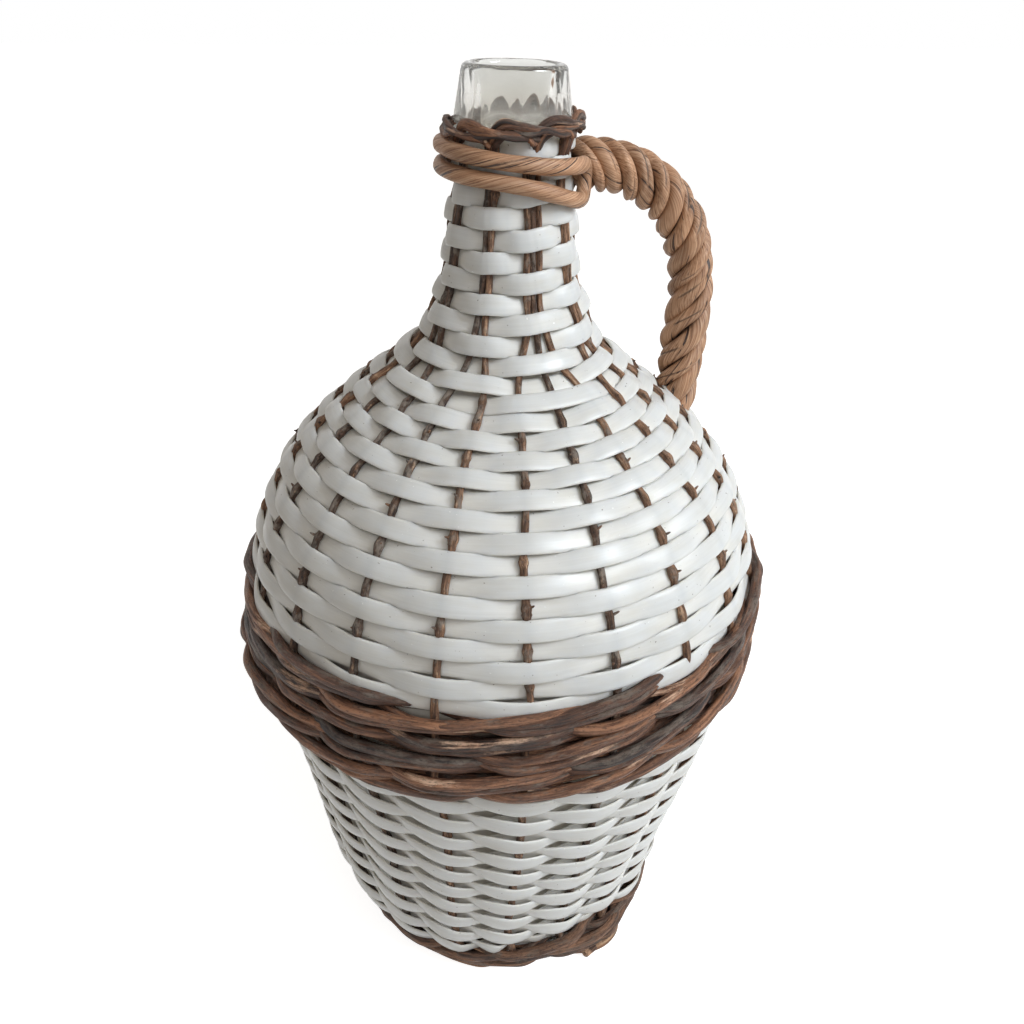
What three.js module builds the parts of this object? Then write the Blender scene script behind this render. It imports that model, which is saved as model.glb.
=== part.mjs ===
// Demijohn: a glass bottle of five litres in a woven jacket.
// Willow stakes rise from a woven base to a collar under the mouth. Flat plastic strips are woven
// round them, a willow band goes round the waist, and a twisted handle is tied to the neck.
// Millimetres, +Z up. The origin is the middle of the foot, on the ground. The handle points to +X.
import * as THREE from "three";

// Bottle
const overallHeight = 370;
const baseHeight = 12; // underside of the glass above the ground
const bellyRadius = 97;
const bellyHeight = 174.5;
const wallLean = THREE.MathUtils.degToRad(10.6); // the lower wall leans out from upright
const bellyArcRadius = 100; // from the lower wall into the belly
const shoulderArcRadius = 94; // from the belly into the shoulder cone
const shoulderSlope = THREE.MathUtils.degToRad(35.6); // the shoulder cone falls from level
const neckFilletRadius = 36;
const neckRadius = 15.2;
const heelRadius = 32;
const pushUp = 9; // the dent in the middle of the base
const glassWall = 3;
const finishHeight = 14; // the thick ring at the mouth
const finishRadius = 19.4; // at the lower edge of that ring
const rimRadius = 17.2; // at its upper edge
const lipRound = 1.6;
const bottleSides = 26;
const wallSteps = 2; // segments of each outer curve of the outline
const innerSteps = 1; // segments of each inner curve

// Stakes
const stakeCount = 21;
const stakeFootRadius = 2.2;
const stakeTipRadius = 1.2;
const stakeSides = 4;
const stakeStart = 1; // lower ends above the ground
const stakeEndBelowFinish = 0.5;
const bundleCount = 9; // on the neck the stakes lie side by side in bundles of two or three
const firstBundledStake = 13;
const firstBundleAngle = THREE.MathUtils.degToRad(-128);
const gatherLead = 8; // the stakes start to draw together this far below the hollow curve
const gatherSteps = 5;
const shoulderSteps = 3;

// Weave
const clearance = 0.3; // between pieces that touch on the real object
const slack = 0.4; // room for a strip that bends behind a stake
const stripWidth = 6.4;
const stripThickness = 1.3;
const stripPitch = 6.9; // from one turn to the next, along the wall
const stripFirstStake = 7;
const seamStake = 5; // the shoulder's strip ends at this stake, behind the neck
const pairWidth = 8.6; // strips of the twisted pair, where they lie on a stake
const pairCrossingWidth = 6.1; // where the two turn past each other
const pairThickness = 1.3;
const pairPitch = 13.4;
const pairFirstStake = 12;

// Waist band and foot
const bandRodRadius = 2.2;
const bandRodCount = 8;
const bandRodGap = 0.5;
const bandBelowBelly = 2; // the band's middle under the widest part of the bottle
const bandTiltHeight = 3.6; // the band lies this much askew
const bandHighSide = THREE.MathUtils.degToRad(20);
const bandTiltEase = 105; // the rows above and below come back to level over this length
const bandEase = 16; // the stakes bow out over this length above and below the band
const footRodRadius = 2.5;
const footRodCount = 5;
const footRodGap = 0.4;
const rodSides = 5;
const waleStep = 3; // a rod passes inside every third stake and outside the two between
const tuckShare = 0.083; // its ends stop this share of the way from the stake that hides them

// Collar
const collarRodRadius = 1.1;
const collarRodCount = 3;

// Base
const baseStickCount = 9;
const baseStickRadius = 2;
const baseHubRadius = 7;
const baseWeaveRadius = 20; // the first turn of the rod round the sticks
const baseRimGap = 1;
const baseRodRadius = 1.6;
const basePitch = 6;
const baseRodSides = 4;

// Handle
const handleInset = 23.5; // the outer run of the handle stands this far inside the belly
const handleBowHeight = 53.5; // from the top of the bow to where it turns upright
const handleFootInset = 25.5; // the same at its foot
const handleTuck = 0.7; // the strands' ends sit this far into the hollow between the loops round the neck
const coreRadius = 2;
const strandCount = 4;
const strandRadius = 3.3;
const strandSteps = 34;
const coreSteps = 16;
const strandSides = 5;
const layAtNeck = 24.6; // length of one turn of the twist
const layAtFoot = 46;
const tangentStep = 0.05; // over which a strand's direction is taken

// Strand round the neck
const bindingRadius = 2.8;
const bindingTurns = 2;
const bindingPitch = 6.7;
const bindingBelowFinish = 17.4; // middle of the two loops under the ring at the mouth
const bindingTiltHeight = 3; // the loops hang lower on the handle's side
const bindingSteps = 24;
const bindingSides = 6;

const glass = () => new THREE.MeshStandardMaterial({
  color: "#dfe6e4", roughness: 0.05, transparent: true, opacity: 0.35,
});
const plastic = () => new THREE.MeshStandardMaterial({ color: "#dddbd3", roughness: 0.38 });
const bark = () => new THREE.MeshStandardMaterial({ color: "#5f4231", roughness: 0.8 });
const peeled = () => new THREE.MeshStandardMaterial({ color: "#a97f54", roughness: 0.7 });
const rattan = () => new THREE.MeshStandardMaterial({ color: "#94673f", roughness: 0.72 });

const demijohn = new THREE.Group();
const fullTurn = 2 * Math.PI;
const stakeAngleStep = fullTurn / stakeCount;

function addPart(name, geometry, material) {
  const mesh = new THREE.Mesh(geometry, material);
  mesh.name = name;
  demijohn.add(mesh);
}

// A closed solid through rings of points that all have the same count, with a flat cap at each end.
function loft(rings) {
  const sides = rings[0].length;
  const faces = [];
  for (let ring = 0; ring + 1 < rings.length; ring++) {
    for (let side = 0; side < sides; side++) {
      const a = ring * sides + side;
      const b = ring * sides + ((side + 1) % sides);
      faces.push([a, b, b + sides], [a, b + sides, a + sides]);
    }
  }
  const last = (rings.length - 1) * sides;
  for (let side = 1; side + 1 < sides; side++) {
    faces.push([0, side + 1, side], [last, last + side, last + side + 1]);
  }
  const points = rings.flat();
  const positions = points.flatMap((point) => [point.x, point.y, point.z]);
  const wedge = ([a, b, c]) => points[a].dot(points[b].clone().cross(points[c]));
  const volume = faces.reduce((sum, face) => sum + wedge(face), 0);
  const outwardFaces = volume > 0 ? faces : faces.map(([a, b, c]) => [a, c, b]);
  const geometry = new THREE.BufferGeometry();
  geometry.setAttribute("position", new THREE.Float32BufferAttribute(positions, 3));
  geometry.setIndex(outwardFaces.flat());
  geometry.computeVertexNormals();
  return geometry;
}

// The wall of the bottle as a path in (radius, height), moved outwards by a distance.
// It is a lower cone, the belly, the shoulder, the shoulder cone, a hollow curve and the neck.
function wallPath(outwards, lowEnd, highEnd) {
  const path = new THREE.Path();
  const lowArc = bellyArcRadius + outwards;
  const lowArcEnd = {
    radius: bellyRadius - bellyArcRadius + lowArc * Math.cos(wallLean),
    height: bellyHeight - lowArc * Math.sin(wallLean),
  };
  const coneTop = coneStart(outwards);
  const fillet = filletCentre();
  path.moveTo(lowArcEnd.radius - (lowArcEnd.height - lowEnd) * Math.tan(wallLean), lowEnd);
  path.lineTo(lowArcEnd.radius, lowArcEnd.height);
  path.absarc(bellyRadius - bellyArcRadius, bellyHeight, lowArc, -wallLean, 0, false);
  const highArc = shoulderArcRadius + outwards;
  path.absarc(bellyRadius - shoulderArcRadius, bellyHeight, highArc, 0, Math.PI / 2 - shoulderSlope, false);
  path.lineTo(coneTop.radius, coneTop.height);
  const hollow = neckFilletRadius - outwards;
  path.absarc(fillet.radius, fillet.height, hollow, 1.5 * Math.PI - shoulderSlope, Math.PI, true);
  path.lineTo(neckRadius + outwards, highEnd);
  return path;
}

// Where the shoulder arc passes into the shoulder cone.
function coneStart(outwards) {
  const arc = shoulderArcRadius + outwards;
  return {
    radius: bellyRadius - shoulderArcRadius + arc * Math.sin(shoulderSlope),
    height: bellyHeight + arc * Math.cos(shoulderSlope),
  };
}

// Centre of the hollow curve that touches the shoulder cone and the neck.
function filletCentre() {
  const start = coneStart(0);
  const touchRadius = neckRadius + neckFilletRadius * (1 - Math.sin(shoulderSlope));
  const touchHeight = start.height + (start.radius - touchRadius) * Math.tan(shoulderSlope);
  return {
    radius: neckRadius + neckFilletRadius,
    height: touchHeight + neckFilletRadius * Math.cos(shoulderSlope),
  };
}

// The heel arc of the bottle touches the base plane and the lower wall.
function heelPath(inwards) {
  const centreHeight = baseHeight + heelRadius;
  const wallThere = wallPath(0, centreHeight, overallHeight).getPoint(0).x;
  const centreRadius = wallThere - heelRadius / Math.cos(wallLean);
  const path = new THREE.Path();
  path.absarc(centreRadius, centreHeight, heelRadius - inwards, -Math.PI / 2, -wallLean, false);
  return path;
}

const finishBottom = overallHeight - finishHeight;

// Bottle: one turned outline, up the outside, over the lip and down the inside.
function makeBottle() {
  const heel = heelPath(0).getPoints(wallSteps);
  const heelTop = heel[heel.length - 1].y;
  const innerHeel = heelPath(glassWall).getPoints(wallSteps);
  const innerHeelTop = innerHeel[innerHeel.length - 1].y;
  const boreRadius = neckRadius - glassWall;
  const outline = [
    new THREE.Vector2(0, baseHeight + pushUp),
    ...heel,
    ...wallPath(0, heelTop, finishBottom).getPoints(wallSteps).slice(1),
    new THREE.Vector2(finishRadius, finishBottom + lipRound),
    new THREE.Vector2(rimRadius, overallHeight - lipRound),
    new THREE.Vector2(rimRadius - lipRound, overallHeight),
    new THREE.Vector2(boreRadius + lipRound, overallHeight),
    new THREE.Vector2(boreRadius, overallHeight - lipRound),
    ...wallPath(-glassWall, innerHeelTop, finishBottom).getPoints(innerSteps).reverse().slice(0, -1),
    ...innerHeel.reverse(),
    new THREE.Vector2(0, baseHeight + pushUp + glassWall),
  ];
  const geometry = new THREE.LatheGeometry(outline, bottleSides);
  geometry.rotateX(Math.PI / 2);
  addPart("glass_bottle", geometry, glass());
}

// Stakes: their middle line runs along the wall at a fixed stand-off and bows out at the band.
const standOff = 2 * clearance + stripThickness + stakeFootRadius + slack;
const stakeEnd = finishBottom - stakeEndBelowFinish;
const stakeLine = wallPath(standOff, stakeStart, stakeEnd);
const stakeLength = stakeLine.getLength();

// The last value between two bounds for which a test holds, by halving.
const halvings = 40;
function lastWhere(holds, from, to) {
  let low = from;
  let high = to;
  for (let step = 0; step < halvings; step++) {
    const middle = (low + high) / 2;
    if (holds(middle)) {
      low = middle;
    } else {
      high = middle;
    }
  }
  return low;
}

// Distance along the stakes' middle line at which it reaches a height.
function alongAtHeight(height) {
  return lastWhere((along) => stakeLine.getPoint(along / stakeLength).y < height, 0, stakeLength);
}

function stakeRadius(along) {
  return THREE.MathUtils.lerp(stakeFootRadius, stakeTipRadius, along / stakeLength);
}

const bandStep = 2 * bandRodRadius + bandRodGap;
const bandMiddle = alongAtHeight(bellyHeight - bandBelowBelly);
const bandHalf = (bandStep * bandRodCount) / 2;
const bandBow = 2 * bandRodRadius + 2 * clearance + stakeRadius(bandMiddle) + slack - standOff;
const neckFoot = filletCentre().height;
const hollowFoot = neckFoot - (neckFilletRadius - standOff) * Math.cos(shoulderSlope);
const gatherFrom = alongAtHeight(hollowFoot) - gatherLead;
const gatherTo = alongAtHeight(neckFoot);

// How far the stakes bow out from their even stand-off.
function bow(along) {
  const past = Math.abs(along - bandMiddle) - bandHalf;
  return bandBow * (1 - THREE.MathUtils.smoothstep(past, 0, bandEase));
}

// The band lies askew, and so do the rows near it: how far they are moved up the wall on a side.
function askew(along, angle) {
  const past = Math.abs(along - bandMiddle) - bandHalf;
  const share = 1 - THREE.MathUtils.smoothstep(past, 0, bandTiltEase);
  return bandTiltHeight * Math.cos(angle - bandHighSide) * share;
}

const levelSide = bandHighSide + Math.PI / 2;

// Radius and height of a point at a distance along the stakes, moved outwards from their middle line.
function wallPoint(along, outwards, angle = levelSide) {
  const lie = along + askew(along, angle);
  const share = THREE.MathUtils.clamp(lie / stakeLength, 0, 1);
  const point = stakeLine.getPoint(share);
  const tangent = stakeLine.getTangent(share);
  const past = lie - stakeLength * share;
  const total = outwards + bow(along);
  return {
    radius: point.x + tangent.x * past + tangent.y * total,
    height: point.y + tangent.y * past - tangent.x * total,
  };
}

function onWall(along, outwards, angle) {
  const { radius, height } = wallPoint(along, outwards, angle);
  return new THREE.Vector3(radius * Math.cos(angle), radius * Math.sin(angle), height);
}

// The stakes of each bundle, in order round the neck.
const bundles = Array.from({ length: bundleCount }, () => []);
for (let order = 0; order < stakeCount; order++) {
  const bundle = Math.floor(((order + 0.5) * bundleCount) / stakeCount);
  bundles[bundle].push((firstBundledStake + order) % stakeCount);
}
const bundleOf = (stake) => bundles.findIndex((stakes) => stakes.includes(stake));

// Angle of a stake: evenly spread on the body, drawn into its bundle on the neck.
function stakeAngle(stake, along) {
  const bundle = bundleOf(stake);
  const spread = stake * stakeAngleStep;
  const beside = (2 * stakeRadius(along) + clearance) / wallPoint(along, 0).radius;
  const place = bundles[bundle].indexOf(stake) - (bundles[bundle].length - 1) / 2;
  const gathered = firstBundleAngle + (bundle * fullTurn) / bundleCount + place * beside;
  const difference = Math.atan2(Math.sin(gathered - spread), Math.cos(gathered - spread));
  return spread + difference * THREE.MathUtils.smoothstep(along, gatherFrom, gatherTo);
}

function evenSteps(from, to, steps) {
  return Array.from({ length: steps + 1 }, (_, step) => from + ((to - from) * step) / steps);
}

// Distances along a stake at which it bends.
function stakeStations() {
  const bandLow = bandMiddle - bandHalf;
  const bandHigh = bandMiddle + bandHalf;
  const shoulderEnd = alongAtHeight(coneStart(standOff).height);
  return [
    0,
    bandLow - bandEase,
    bandLow,
    bandMiddle - bandHalf / 2,
    bandMiddle,
    bandMiddle + bandHalf / 2,
    bandHigh,
    ...evenSteps(bandHigh + bandEase, shoulderEnd, shoulderSteps),
    ...evenSteps(gatherFrom, gatherTo, gatherSteps),
    stakeLength,
  ];
}

function makeStakes() {
  const stations = stakeStations();
  for (let stake = 0; stake < stakeCount; stake++) {
    const rings = stations.map((along) => {
      const radius = stakeRadius(along);
      const angle = stakeAngle(stake, along);
      const middle = wallPoint(along, 0, angle).radius;
      const place = (across, out) => onWall(along, radius * out, angle + (radius * across) / middle);
      return polygon(stakeSides, place);
    });
    addPart("stake_" + String(stake + 1).padStart(2, "0"), loft(rings), bark());
  }
}

// Corners of a regular section with a flat side inwards, placed by a function of (across, out).
function polygon(sides, place) {
  return Array.from({ length: sides }, (_, side) => {
    const turn = ((side + 0.5) * fullTurn) / sides;
    return place(Math.sin(turn), -Math.cos(turn));
  });
}

// How far a strip or rod stands from the stakes' middle line where it passes outside or inside one.
// It rides farther out where it turns sharply to the far side of the next stake.
function ride(side, need, along, gapAngle) {
  const dip = Math.atan((2 * need) / (wallPoint(along, 0).radius * gapAngle));
  const turn = side > 0 ? dip + gapAngle / 2 : Math.max(0, dip - gapAngle / 2);
  return (side * need) / Math.cos(turn);
}

// A flat strip that climbs in a spiral, in front of a stake or behind it.
function wovenStrip(start, passes, firstStake, sideOf, gapAngleAt) {
  const rings = [];
  for (let pass = 0; pass <= passes; pass++) {
    const stake = (firstStake + pass) % stakeCount;
    const along = start + (stripPitch * pass) / stakeCount;
    const corner = (acrossShare, face) => {
      const edge = along + acrossShare * stripWidth;
      const need = stakeRadius(edge) + clearance + stripThickness / 2;
      const out = ride(sideOf(pass, stake), need, edge, gapAngleAt(stake, edge));
      return onWall(edge, out + face * stripThickness, stakeAngle(stake, edge));
    };
    rings.push([corner(-0.5, -0.5), corner(0.5, -0.5), corner(0.5, 0.5), corner(-0.5, 0.5)]);
  }
  return loft(rings);
}

// The spiral starts on the band. The shoulder's strip ends one stake before the neck's strip goes on
// in the same spiral.
const shoulderStart = bandMiddle + bandHalf + clearance + stripWidth / 2;
const seamPasses = (seamStake - stripFirstStake + stakeCount) % stakeCount;
const shoulderTurns = Math.floor((gatherFrom - shoulderStart) / stripPitch - seamPasses / stakeCount);
const shoulderPasses = shoulderTurns * stakeCount + seamPasses;
const neckStart = shoulderStart + (stripPitch * (shoulderPasses + 1)) / stakeCount;
const collarStep = 2 * collarRodRadius + clearance;
const neckEnd = stakeLength - collarRodCount * collarStep - clearance - stripWidth / 2;
const neckPasses = Math.floor(((neckEnd - neckStart) / stripPitch) * stakeCount);

const evenGap = () => stakeAngleStep;

function makeShoulderStrip() {
  const sideOf = (pass) => (pass % 2 === 0 ? -1 : 1);
  const strip = wovenStrip(shoulderStart, shoulderPasses, stripFirstStake, sideOf, evenGap);
  addPart("shoulder_strip", strip, plastic());
}

// Angle between the last stake of one bundle and the first of the next, at the narrower side.
function bundleGap(stake, along) {
  const bundle = bundleOf(stake);
  const here = bundles[bundle];
  const before = bundles[(bundle + bundleCount - 1) % bundleCount];
  const after = bundles[(bundle + 1) % bundleCount];
  const between = (from, to) => {
    return (stakeAngle(to, along) - stakeAngle(from, along) + 2 * fullTurn) % fullTurn;
  };
  const gapBefore = between(before[before.length - 1], here[0]);
  const gapAfter = between(here[here.length - 1], after[0]);
  return Math.min(gapBefore, gapAfter);
}

function makeNeckStrip() {
  const first = seamStake + 1;
  const sideOf = (pass, stake) => {
    const turn = Math.floor((first + pass + stakeCount - firstBundledStake) / stakeCount);
    return (turn * bundleCount + bundleOf(stake)) % 2 === 0 ? 1 : -1;
  };
  addPart("neck_strip", wovenStrip(neckStart, neckPasses, first, sideOf, bundleGap), plastic());
}

// Two strips twisted round each other: at each stake one passes in front and the other behind.
// A strip comes out low, rises across the stake and goes in high, while the other one does the reverse.
const pairLift = pairPitch / 4;
const footRodLow = footRodRadius * Math.cos(Math.PI / rodSides); // the flat side lies on the ground
const footStep = 2 * footRodRadius + footRodGap;
const footTop = footRodLow + (footRodCount - 1) * footStep + footRodRadius;
const pairHalf = pairLift + pairCrossingWidth / 2;
const basketStart = alongAtHeight(footTop) + clearance + pairHalf;
const basketEnd = bandMiddle - bandHalf - clearance - pairHalf;
const pairPasses = Math.floor(((basketEnd - basketStart) / pairPitch) * stakeCount);

function makeBasketStrips() {
  ["a", "b"].forEach((letter, strand) => {
    const rings = [];
    for (let half = 0; half <= 2 * pairPasses; half++) {
      const pass = half / 2;
      const angle = (pairFirstStake + pass) * stakeAngleStep;
      const side = Math.round(Math.cos(Math.PI * (pass + strand))); // 0 where the two cross
      const rise = Math.round(Math.sin(Math.PI * (pass + strand)));
      const middle = basketStart + (pairPitch * pass) / stakeCount + rise * pairLift;
      const width = side === 0 ? pairCrossingWidth : pairWidth;
      const corner = (acrossShare, face) => {
        const edge = middle + acrossShare * width;
        const need = stakeRadius(edge) + clearance + pairThickness / 2;
        const out = ride(side, need, edge, stakeAngleStep);
        return onWall(edge, out + face * pairThickness, angle);
      };
      rings.push([corner(-0.5, -0.5), corner(0.5, -0.5), corner(0, 0.5)]);
    }
    addPart("basket_strip_" + letter, loft(rings), plastic());
  });
}

// A willow rod once round the stakes, with both ends behind the same stake.
function waledRod(along, radius, sideOf, gapAngleAt, hiddenStake) {
  const rings = [];
  const tuck = stakeAngleStep * tuckShare;
  for (let pass = 0; pass <= stakeCount; pass++) {
    const stake = (hiddenStake + pass) % stakeCount;
    const need = stakeRadius(along) + clearance + radius;
    const out = ride(sideOf(stake), need, along, gapAngleAt(stake, along));
    const shift = pass === 0 ? tuck : pass === stakeCount ? -tuck : 0;
    const angle = stakeAngle(stake, along) + shift;
    const middle = wallPoint(along, out, angle).radius;
    const { height } = wallPoint(along, 0, angle);
    rings.push(polygon(rodSides, (across, down) => {
      const reach = middle + radius * across;
      return new THREE.Vector3(reach * Math.cos(angle), reach * Math.sin(angle), height + radius * down);
    }));
  }
  return loft(rings);
}

// Each rod of a band passes inside other stakes than the rod below it.
const waleSide = (rod) => (stake) => ((stake + rod) % waleStep === 0 ? -1 : 1);
const hiddenStake = (rod) => (waleStep - (rod % waleStep)) % waleStep;

function makeBand() {
  for (let rod = 0; rod < bandRodCount; rod++) {
    const level = bandMiddle + (rod - (bandRodCount - 1) / 2) * bandStep;
    const solid = waledRod(level, bandRodRadius, waleSide(rod), evenGap, hiddenStake(rod));
    addPart("band_rod_" + (rod + 1), solid, bark());
  }
}

function makeFoot() {
  for (let rod = 0; rod < footRodCount; rod++) {
    const along = (footRodLow + rod * footStep - stakeStart) / Math.cos(wallLean);
    const solid = waledRod(along, footRodRadius, waleSide(rod), evenGap, hiddenStake(rod));
    addPart("foot_rod_" + (rod + 1), solid, rod === 0 ? peeled() : bark());
  }
}

function makeCollar() {
  for (let rod = 0; rod < collarRodCount; rod++) {
    const along = stakeLength - collarRodRadius - rod * collarStep;
    const sideOf = (stake) => waleSide(rod)(bundleOf(stake));
    const hidden = bundles[hiddenStake(rod)][0];
    const solid = waledRod(along, collarRodRadius, sideOf, bundleGap, hidden);
    addPart("collar_rod_" + (rod + 1), solid, bark());
  }
}

// Base: sticks like spokes, and a rod woven over and under them in a flat spiral.
function makeBase() {
  const levelHeight = baseHeight - clearance - 2 * baseRodRadius - clearance - baseStickRadius;
  const innerFoot = wallPoint(0, 0).radius - stakeFootRadius - clearance - 2 * footRodRadius;
  const baseReach = innerFoot - baseRimGap;
  const stickStep = fullTurn / baseStickCount;
  for (let stick = 0; stick < baseStickCount; stick++) {
    const rings = [baseHubRadius, baseReach].map((reach) => polygon(rodSides, (across, up) => {
      return new THREE.Vector3(reach, baseStickRadius * across, levelHeight + baseStickRadius * up);
    }));
    const solid = loft(rings);
    solid.rotateZ(stick * stickStep);
    addPart("base_stick_" + (stick + 1), solid, peeled());
  }
  const turns = Math.floor((baseReach - baseWeaveRadius - baseRodRadius) / basePitch);
  const need = baseStickRadius + clearance + baseRodRadius;
  const rings = [];
  for (let pass = 0; pass <= turns * baseStickCount; pass++) {
    const angle = pass * stickStep;
    const reach = baseWeaveRadius + (basePitch * pass) / baseStickCount;
    const side = pass % 2 === 0 ? 1 : -1;
    const dip = Math.atan((2 * need) / (reach * stickStep));
    const height = levelHeight + (side * need) / Math.cos(dip);
    rings.push(polygon(baseRodSides, (across, up) => {
      const there = reach + baseRodRadius * across;
      return new THREE.Vector3(there * Math.cos(angle), there * Math.sin(angle), height + baseRodRadius * up);
    }));
  }
  addPart("base_weave", loft(rings), bark());
}

// The strand round the neck: one tube in two loops that hang lower on the handle's side.
const neckNeed = stakeRadius(stakeLength) + clearance + stripThickness / 2;
const neckRide = ride(1, neckNeed, stakeLength, bundleGap(firstBundledStake, stakeLength));
const neckWeaveOut = neckRadius + standOff + neckRide + stripThickness / 2;
const bindingHeight = finishBottom - bindingBelowFinish;
const bindingReach = neckWeaveOut + clearance + bindingRadius;

function bindingPoint(angle) {
  const drop = (bindingPitch * angle) / fullTurn - (bindingPitch * bindingTurns) / 2;
  const height = bindingHeight - drop - bindingTiltHeight * Math.cos(angle);
  return new THREE.Vector3(bindingReach * Math.cos(angle), bindingReach * Math.sin(angle), height);
}

function makeBinding() {
  const count = bindingTurns * bindingSteps;
  const angles = Array.from({ length: count + 1 }, (_, step) => (step * fullTurn) / bindingSteps);
  const rings = angles.map((angle) => {
    const middle = bindingPoint(angle);
    return polygon(bindingSides, (across, up) => {
      const reach = bindingReach + bindingRadius * across;
      const height = middle.z + bindingRadius * up;
      return new THREE.Vector3(reach * Math.cos(angle), reach * Math.sin(angle), height);
    });
  });
  const gaps = angles.slice(bindingSteps).map((angle) => {
    const others = angles.filter((other) => angle - other > fullTurn / 2);
    return Math.min(...others.map((other) => bindingPoint(angle).distanceTo(bindingPoint(other))));
  });
  const leastGap = Math.min(...gaps) - 2 * bindingRadius;
  console.log("neck binding: least gap to itself " + leastGap.toFixed(2) + " mm");
  addPart("neck_binding", loft(rings), rattan());
}

// Handle: a bow from the neck binding to the shoulder, in the plane of X and Z.
// Its strands lie round the core, and each is squeezed along the rope where the lay is short.
const strandReach = coreRadius + clearance + strandRadius;
const layAngle = (lay) => Math.atan((fullTurn * strandReach) / lay);
const strandRoom = (lay) => ((fullTurn * strandReach) / strandCount) * Math.cos(layAngle(lay));
const bowShare = 1 - strandReach / handleBowHeight; // the lay is shorter on the inside of the bow
const strandHalfWidth = (lay) => Math.min(strandRadius, strandRoom(lay * bowShare) / 2 - clearance);
const strandLean = strandHalfWidth(layAtNeck) * Math.sin(layAngle(layAtNeck));
const handleStart = bindingReach + bindingRadius + clearance + strandLean - handleTuck;

const handleReach = bellyRadius - handleInset;
const handleFootReach = bellyRadius - handleFootInset;

function handlePath() {
  const path = new THREE.Path();
  const turnHeight = bindingHeight - handleBowHeight;
  const bowReach = handleReach - handleStart;
  path.absellipse(handleStart, turnHeight, bowReach, handleBowHeight, Math.PI / 2, 0, true, 0);
  path.lineTo(handleFootReach, bellyHeight + shoulderArcRadius / 2);
  return path;
}

const handleLine = handlePath();
const handleLength = handleLine.getLength();

// A point of the handle's axis with its outward direction in the plane of the bow.
function handleFrame(distance) {
  const share = distance / handleLength;
  const point = handleLine.getPoint(share);
  const tangent = handleLine.getTangent(share);
  return {
    middle: new THREE.Vector3(point.x, 0, point.y),
    tangent: new THREE.Vector3(tangent.x, 0, tangent.y),
    outward: new THREE.Vector3(-tangent.y, 0, tangent.x),
    sideways: new THREE.Vector3(0, 1, 0),
  };
}

// The twist: its lay grows evenly from the neck to the foot of the handle.
const layGrowth = (layAtFoot - layAtNeck) / handleLength;
const twistAt = (distance) => (fullTurn / layGrowth) * Math.log(1 + (layGrowth * distance) / layAtNeck);

function strandPoint(strand, distance) {
  const frame = handleFrame(distance);
  const turn = (strand * fullTurn) / strandCount - twistAt(distance);
  const radial = frame.outward.clone().multiplyScalar(Math.cos(turn));
  radial.addScaledVector(frame.sideways, Math.sin(turn));
  return { point: frame.middle.clone().addScaledVector(radial, strandReach), radial };
}

// Height of a point above the outer face of the weave on the shoulder, negative inside it.
const stakeLinePoints = stakeLine.getSpacedPoints(Math.ceil(stakeLength));
const shoulderNeed = stakeRadius(gatherFrom) + clearance + stripThickness / 2;
const shoulderWeaveOut = ride(1, shoulderNeed, gatherFrom, stakeAngleStep) + stripThickness / 2;

function aboveWeave(point) {
  const place = new THREE.Vector2(Math.hypot(point.x, point.y), point.z);
  const centre = new THREE.Vector2(bellyRadius - shoulderArcRadius, bellyHeight);
  const nearer = (best, spot) => (spot.distanceTo(place) < best.distanceTo(place) ? spot : best);
  const nearest = stakeLinePoints.reduce(nearer);
  const side = place.distanceTo(centre) < nearest.distanceTo(centre) ? -1 : 1;
  return side * nearest.distanceTo(place) - shoulderWeaveOut;
}

// A run of the handle in even steps, which ends where its section comes to rest on the weave.
function runToWeave(ringAt, steps) {
  const isClear = (distance) => Math.min(...ringAt(distance).map(aboveWeave)) > clearance;
  const end = lastWhere(isClear, handleLength / 2, handleLength);
  return loft(evenSteps(0, end, steps).map(ringAt));
}

function makeHandle() {
  addPart("handle_core", runToWeave(coreRing, coreSteps), bark());
  for (let strand = 0; strand < strandCount; strand++) {
    const solid = runToWeave((distance) => strandRing(strand, distance), strandSteps);
    addPart("handle_strand_" + (strand + 1), solid, rattan());
  }
}

function coreRing(distance) {
  const frame = handleFrame(distance);
  return polygon(rodSides, (across, out) => frame.middle.clone()
    .addScaledVector(frame.sideways, coreRadius * across)
    .addScaledVector(frame.outward, coreRadius * out));
}

function strandRing(strand, distance) {
  const { point, radial } = strandPoint(strand, distance);
  const ahead = strandPoint(strand, Math.min(distance + tangentStep, handleLength)).point;
  const behind = strandPoint(strand, Math.max(distance - tangentStep, 0)).point;
  const along = ahead.sub(behind).normalize();
  const across = new THREE.Vector3().crossVectors(along, radial).normalize();
  const halfWidth = strandHalfWidth(layAtNeck + layGrowth * distance);
  return polygon(strandSides, (wide, out) => point.clone()
    .addScaledVector(across, halfWidth * wide)
    .addScaledVector(radial, strandRadius * out));
}

makeBottle();
makeStakes();
makeShoulderStrip();
makeNeckStrip();
makeBasketStrips();
makeBand();
makeFoot();
makeCollar();
makeBase();
makeBinding();
makeHandle();

export default demijohn;
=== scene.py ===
import math

import bpy
import numpy as np
from mathutils import Matrix


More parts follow.
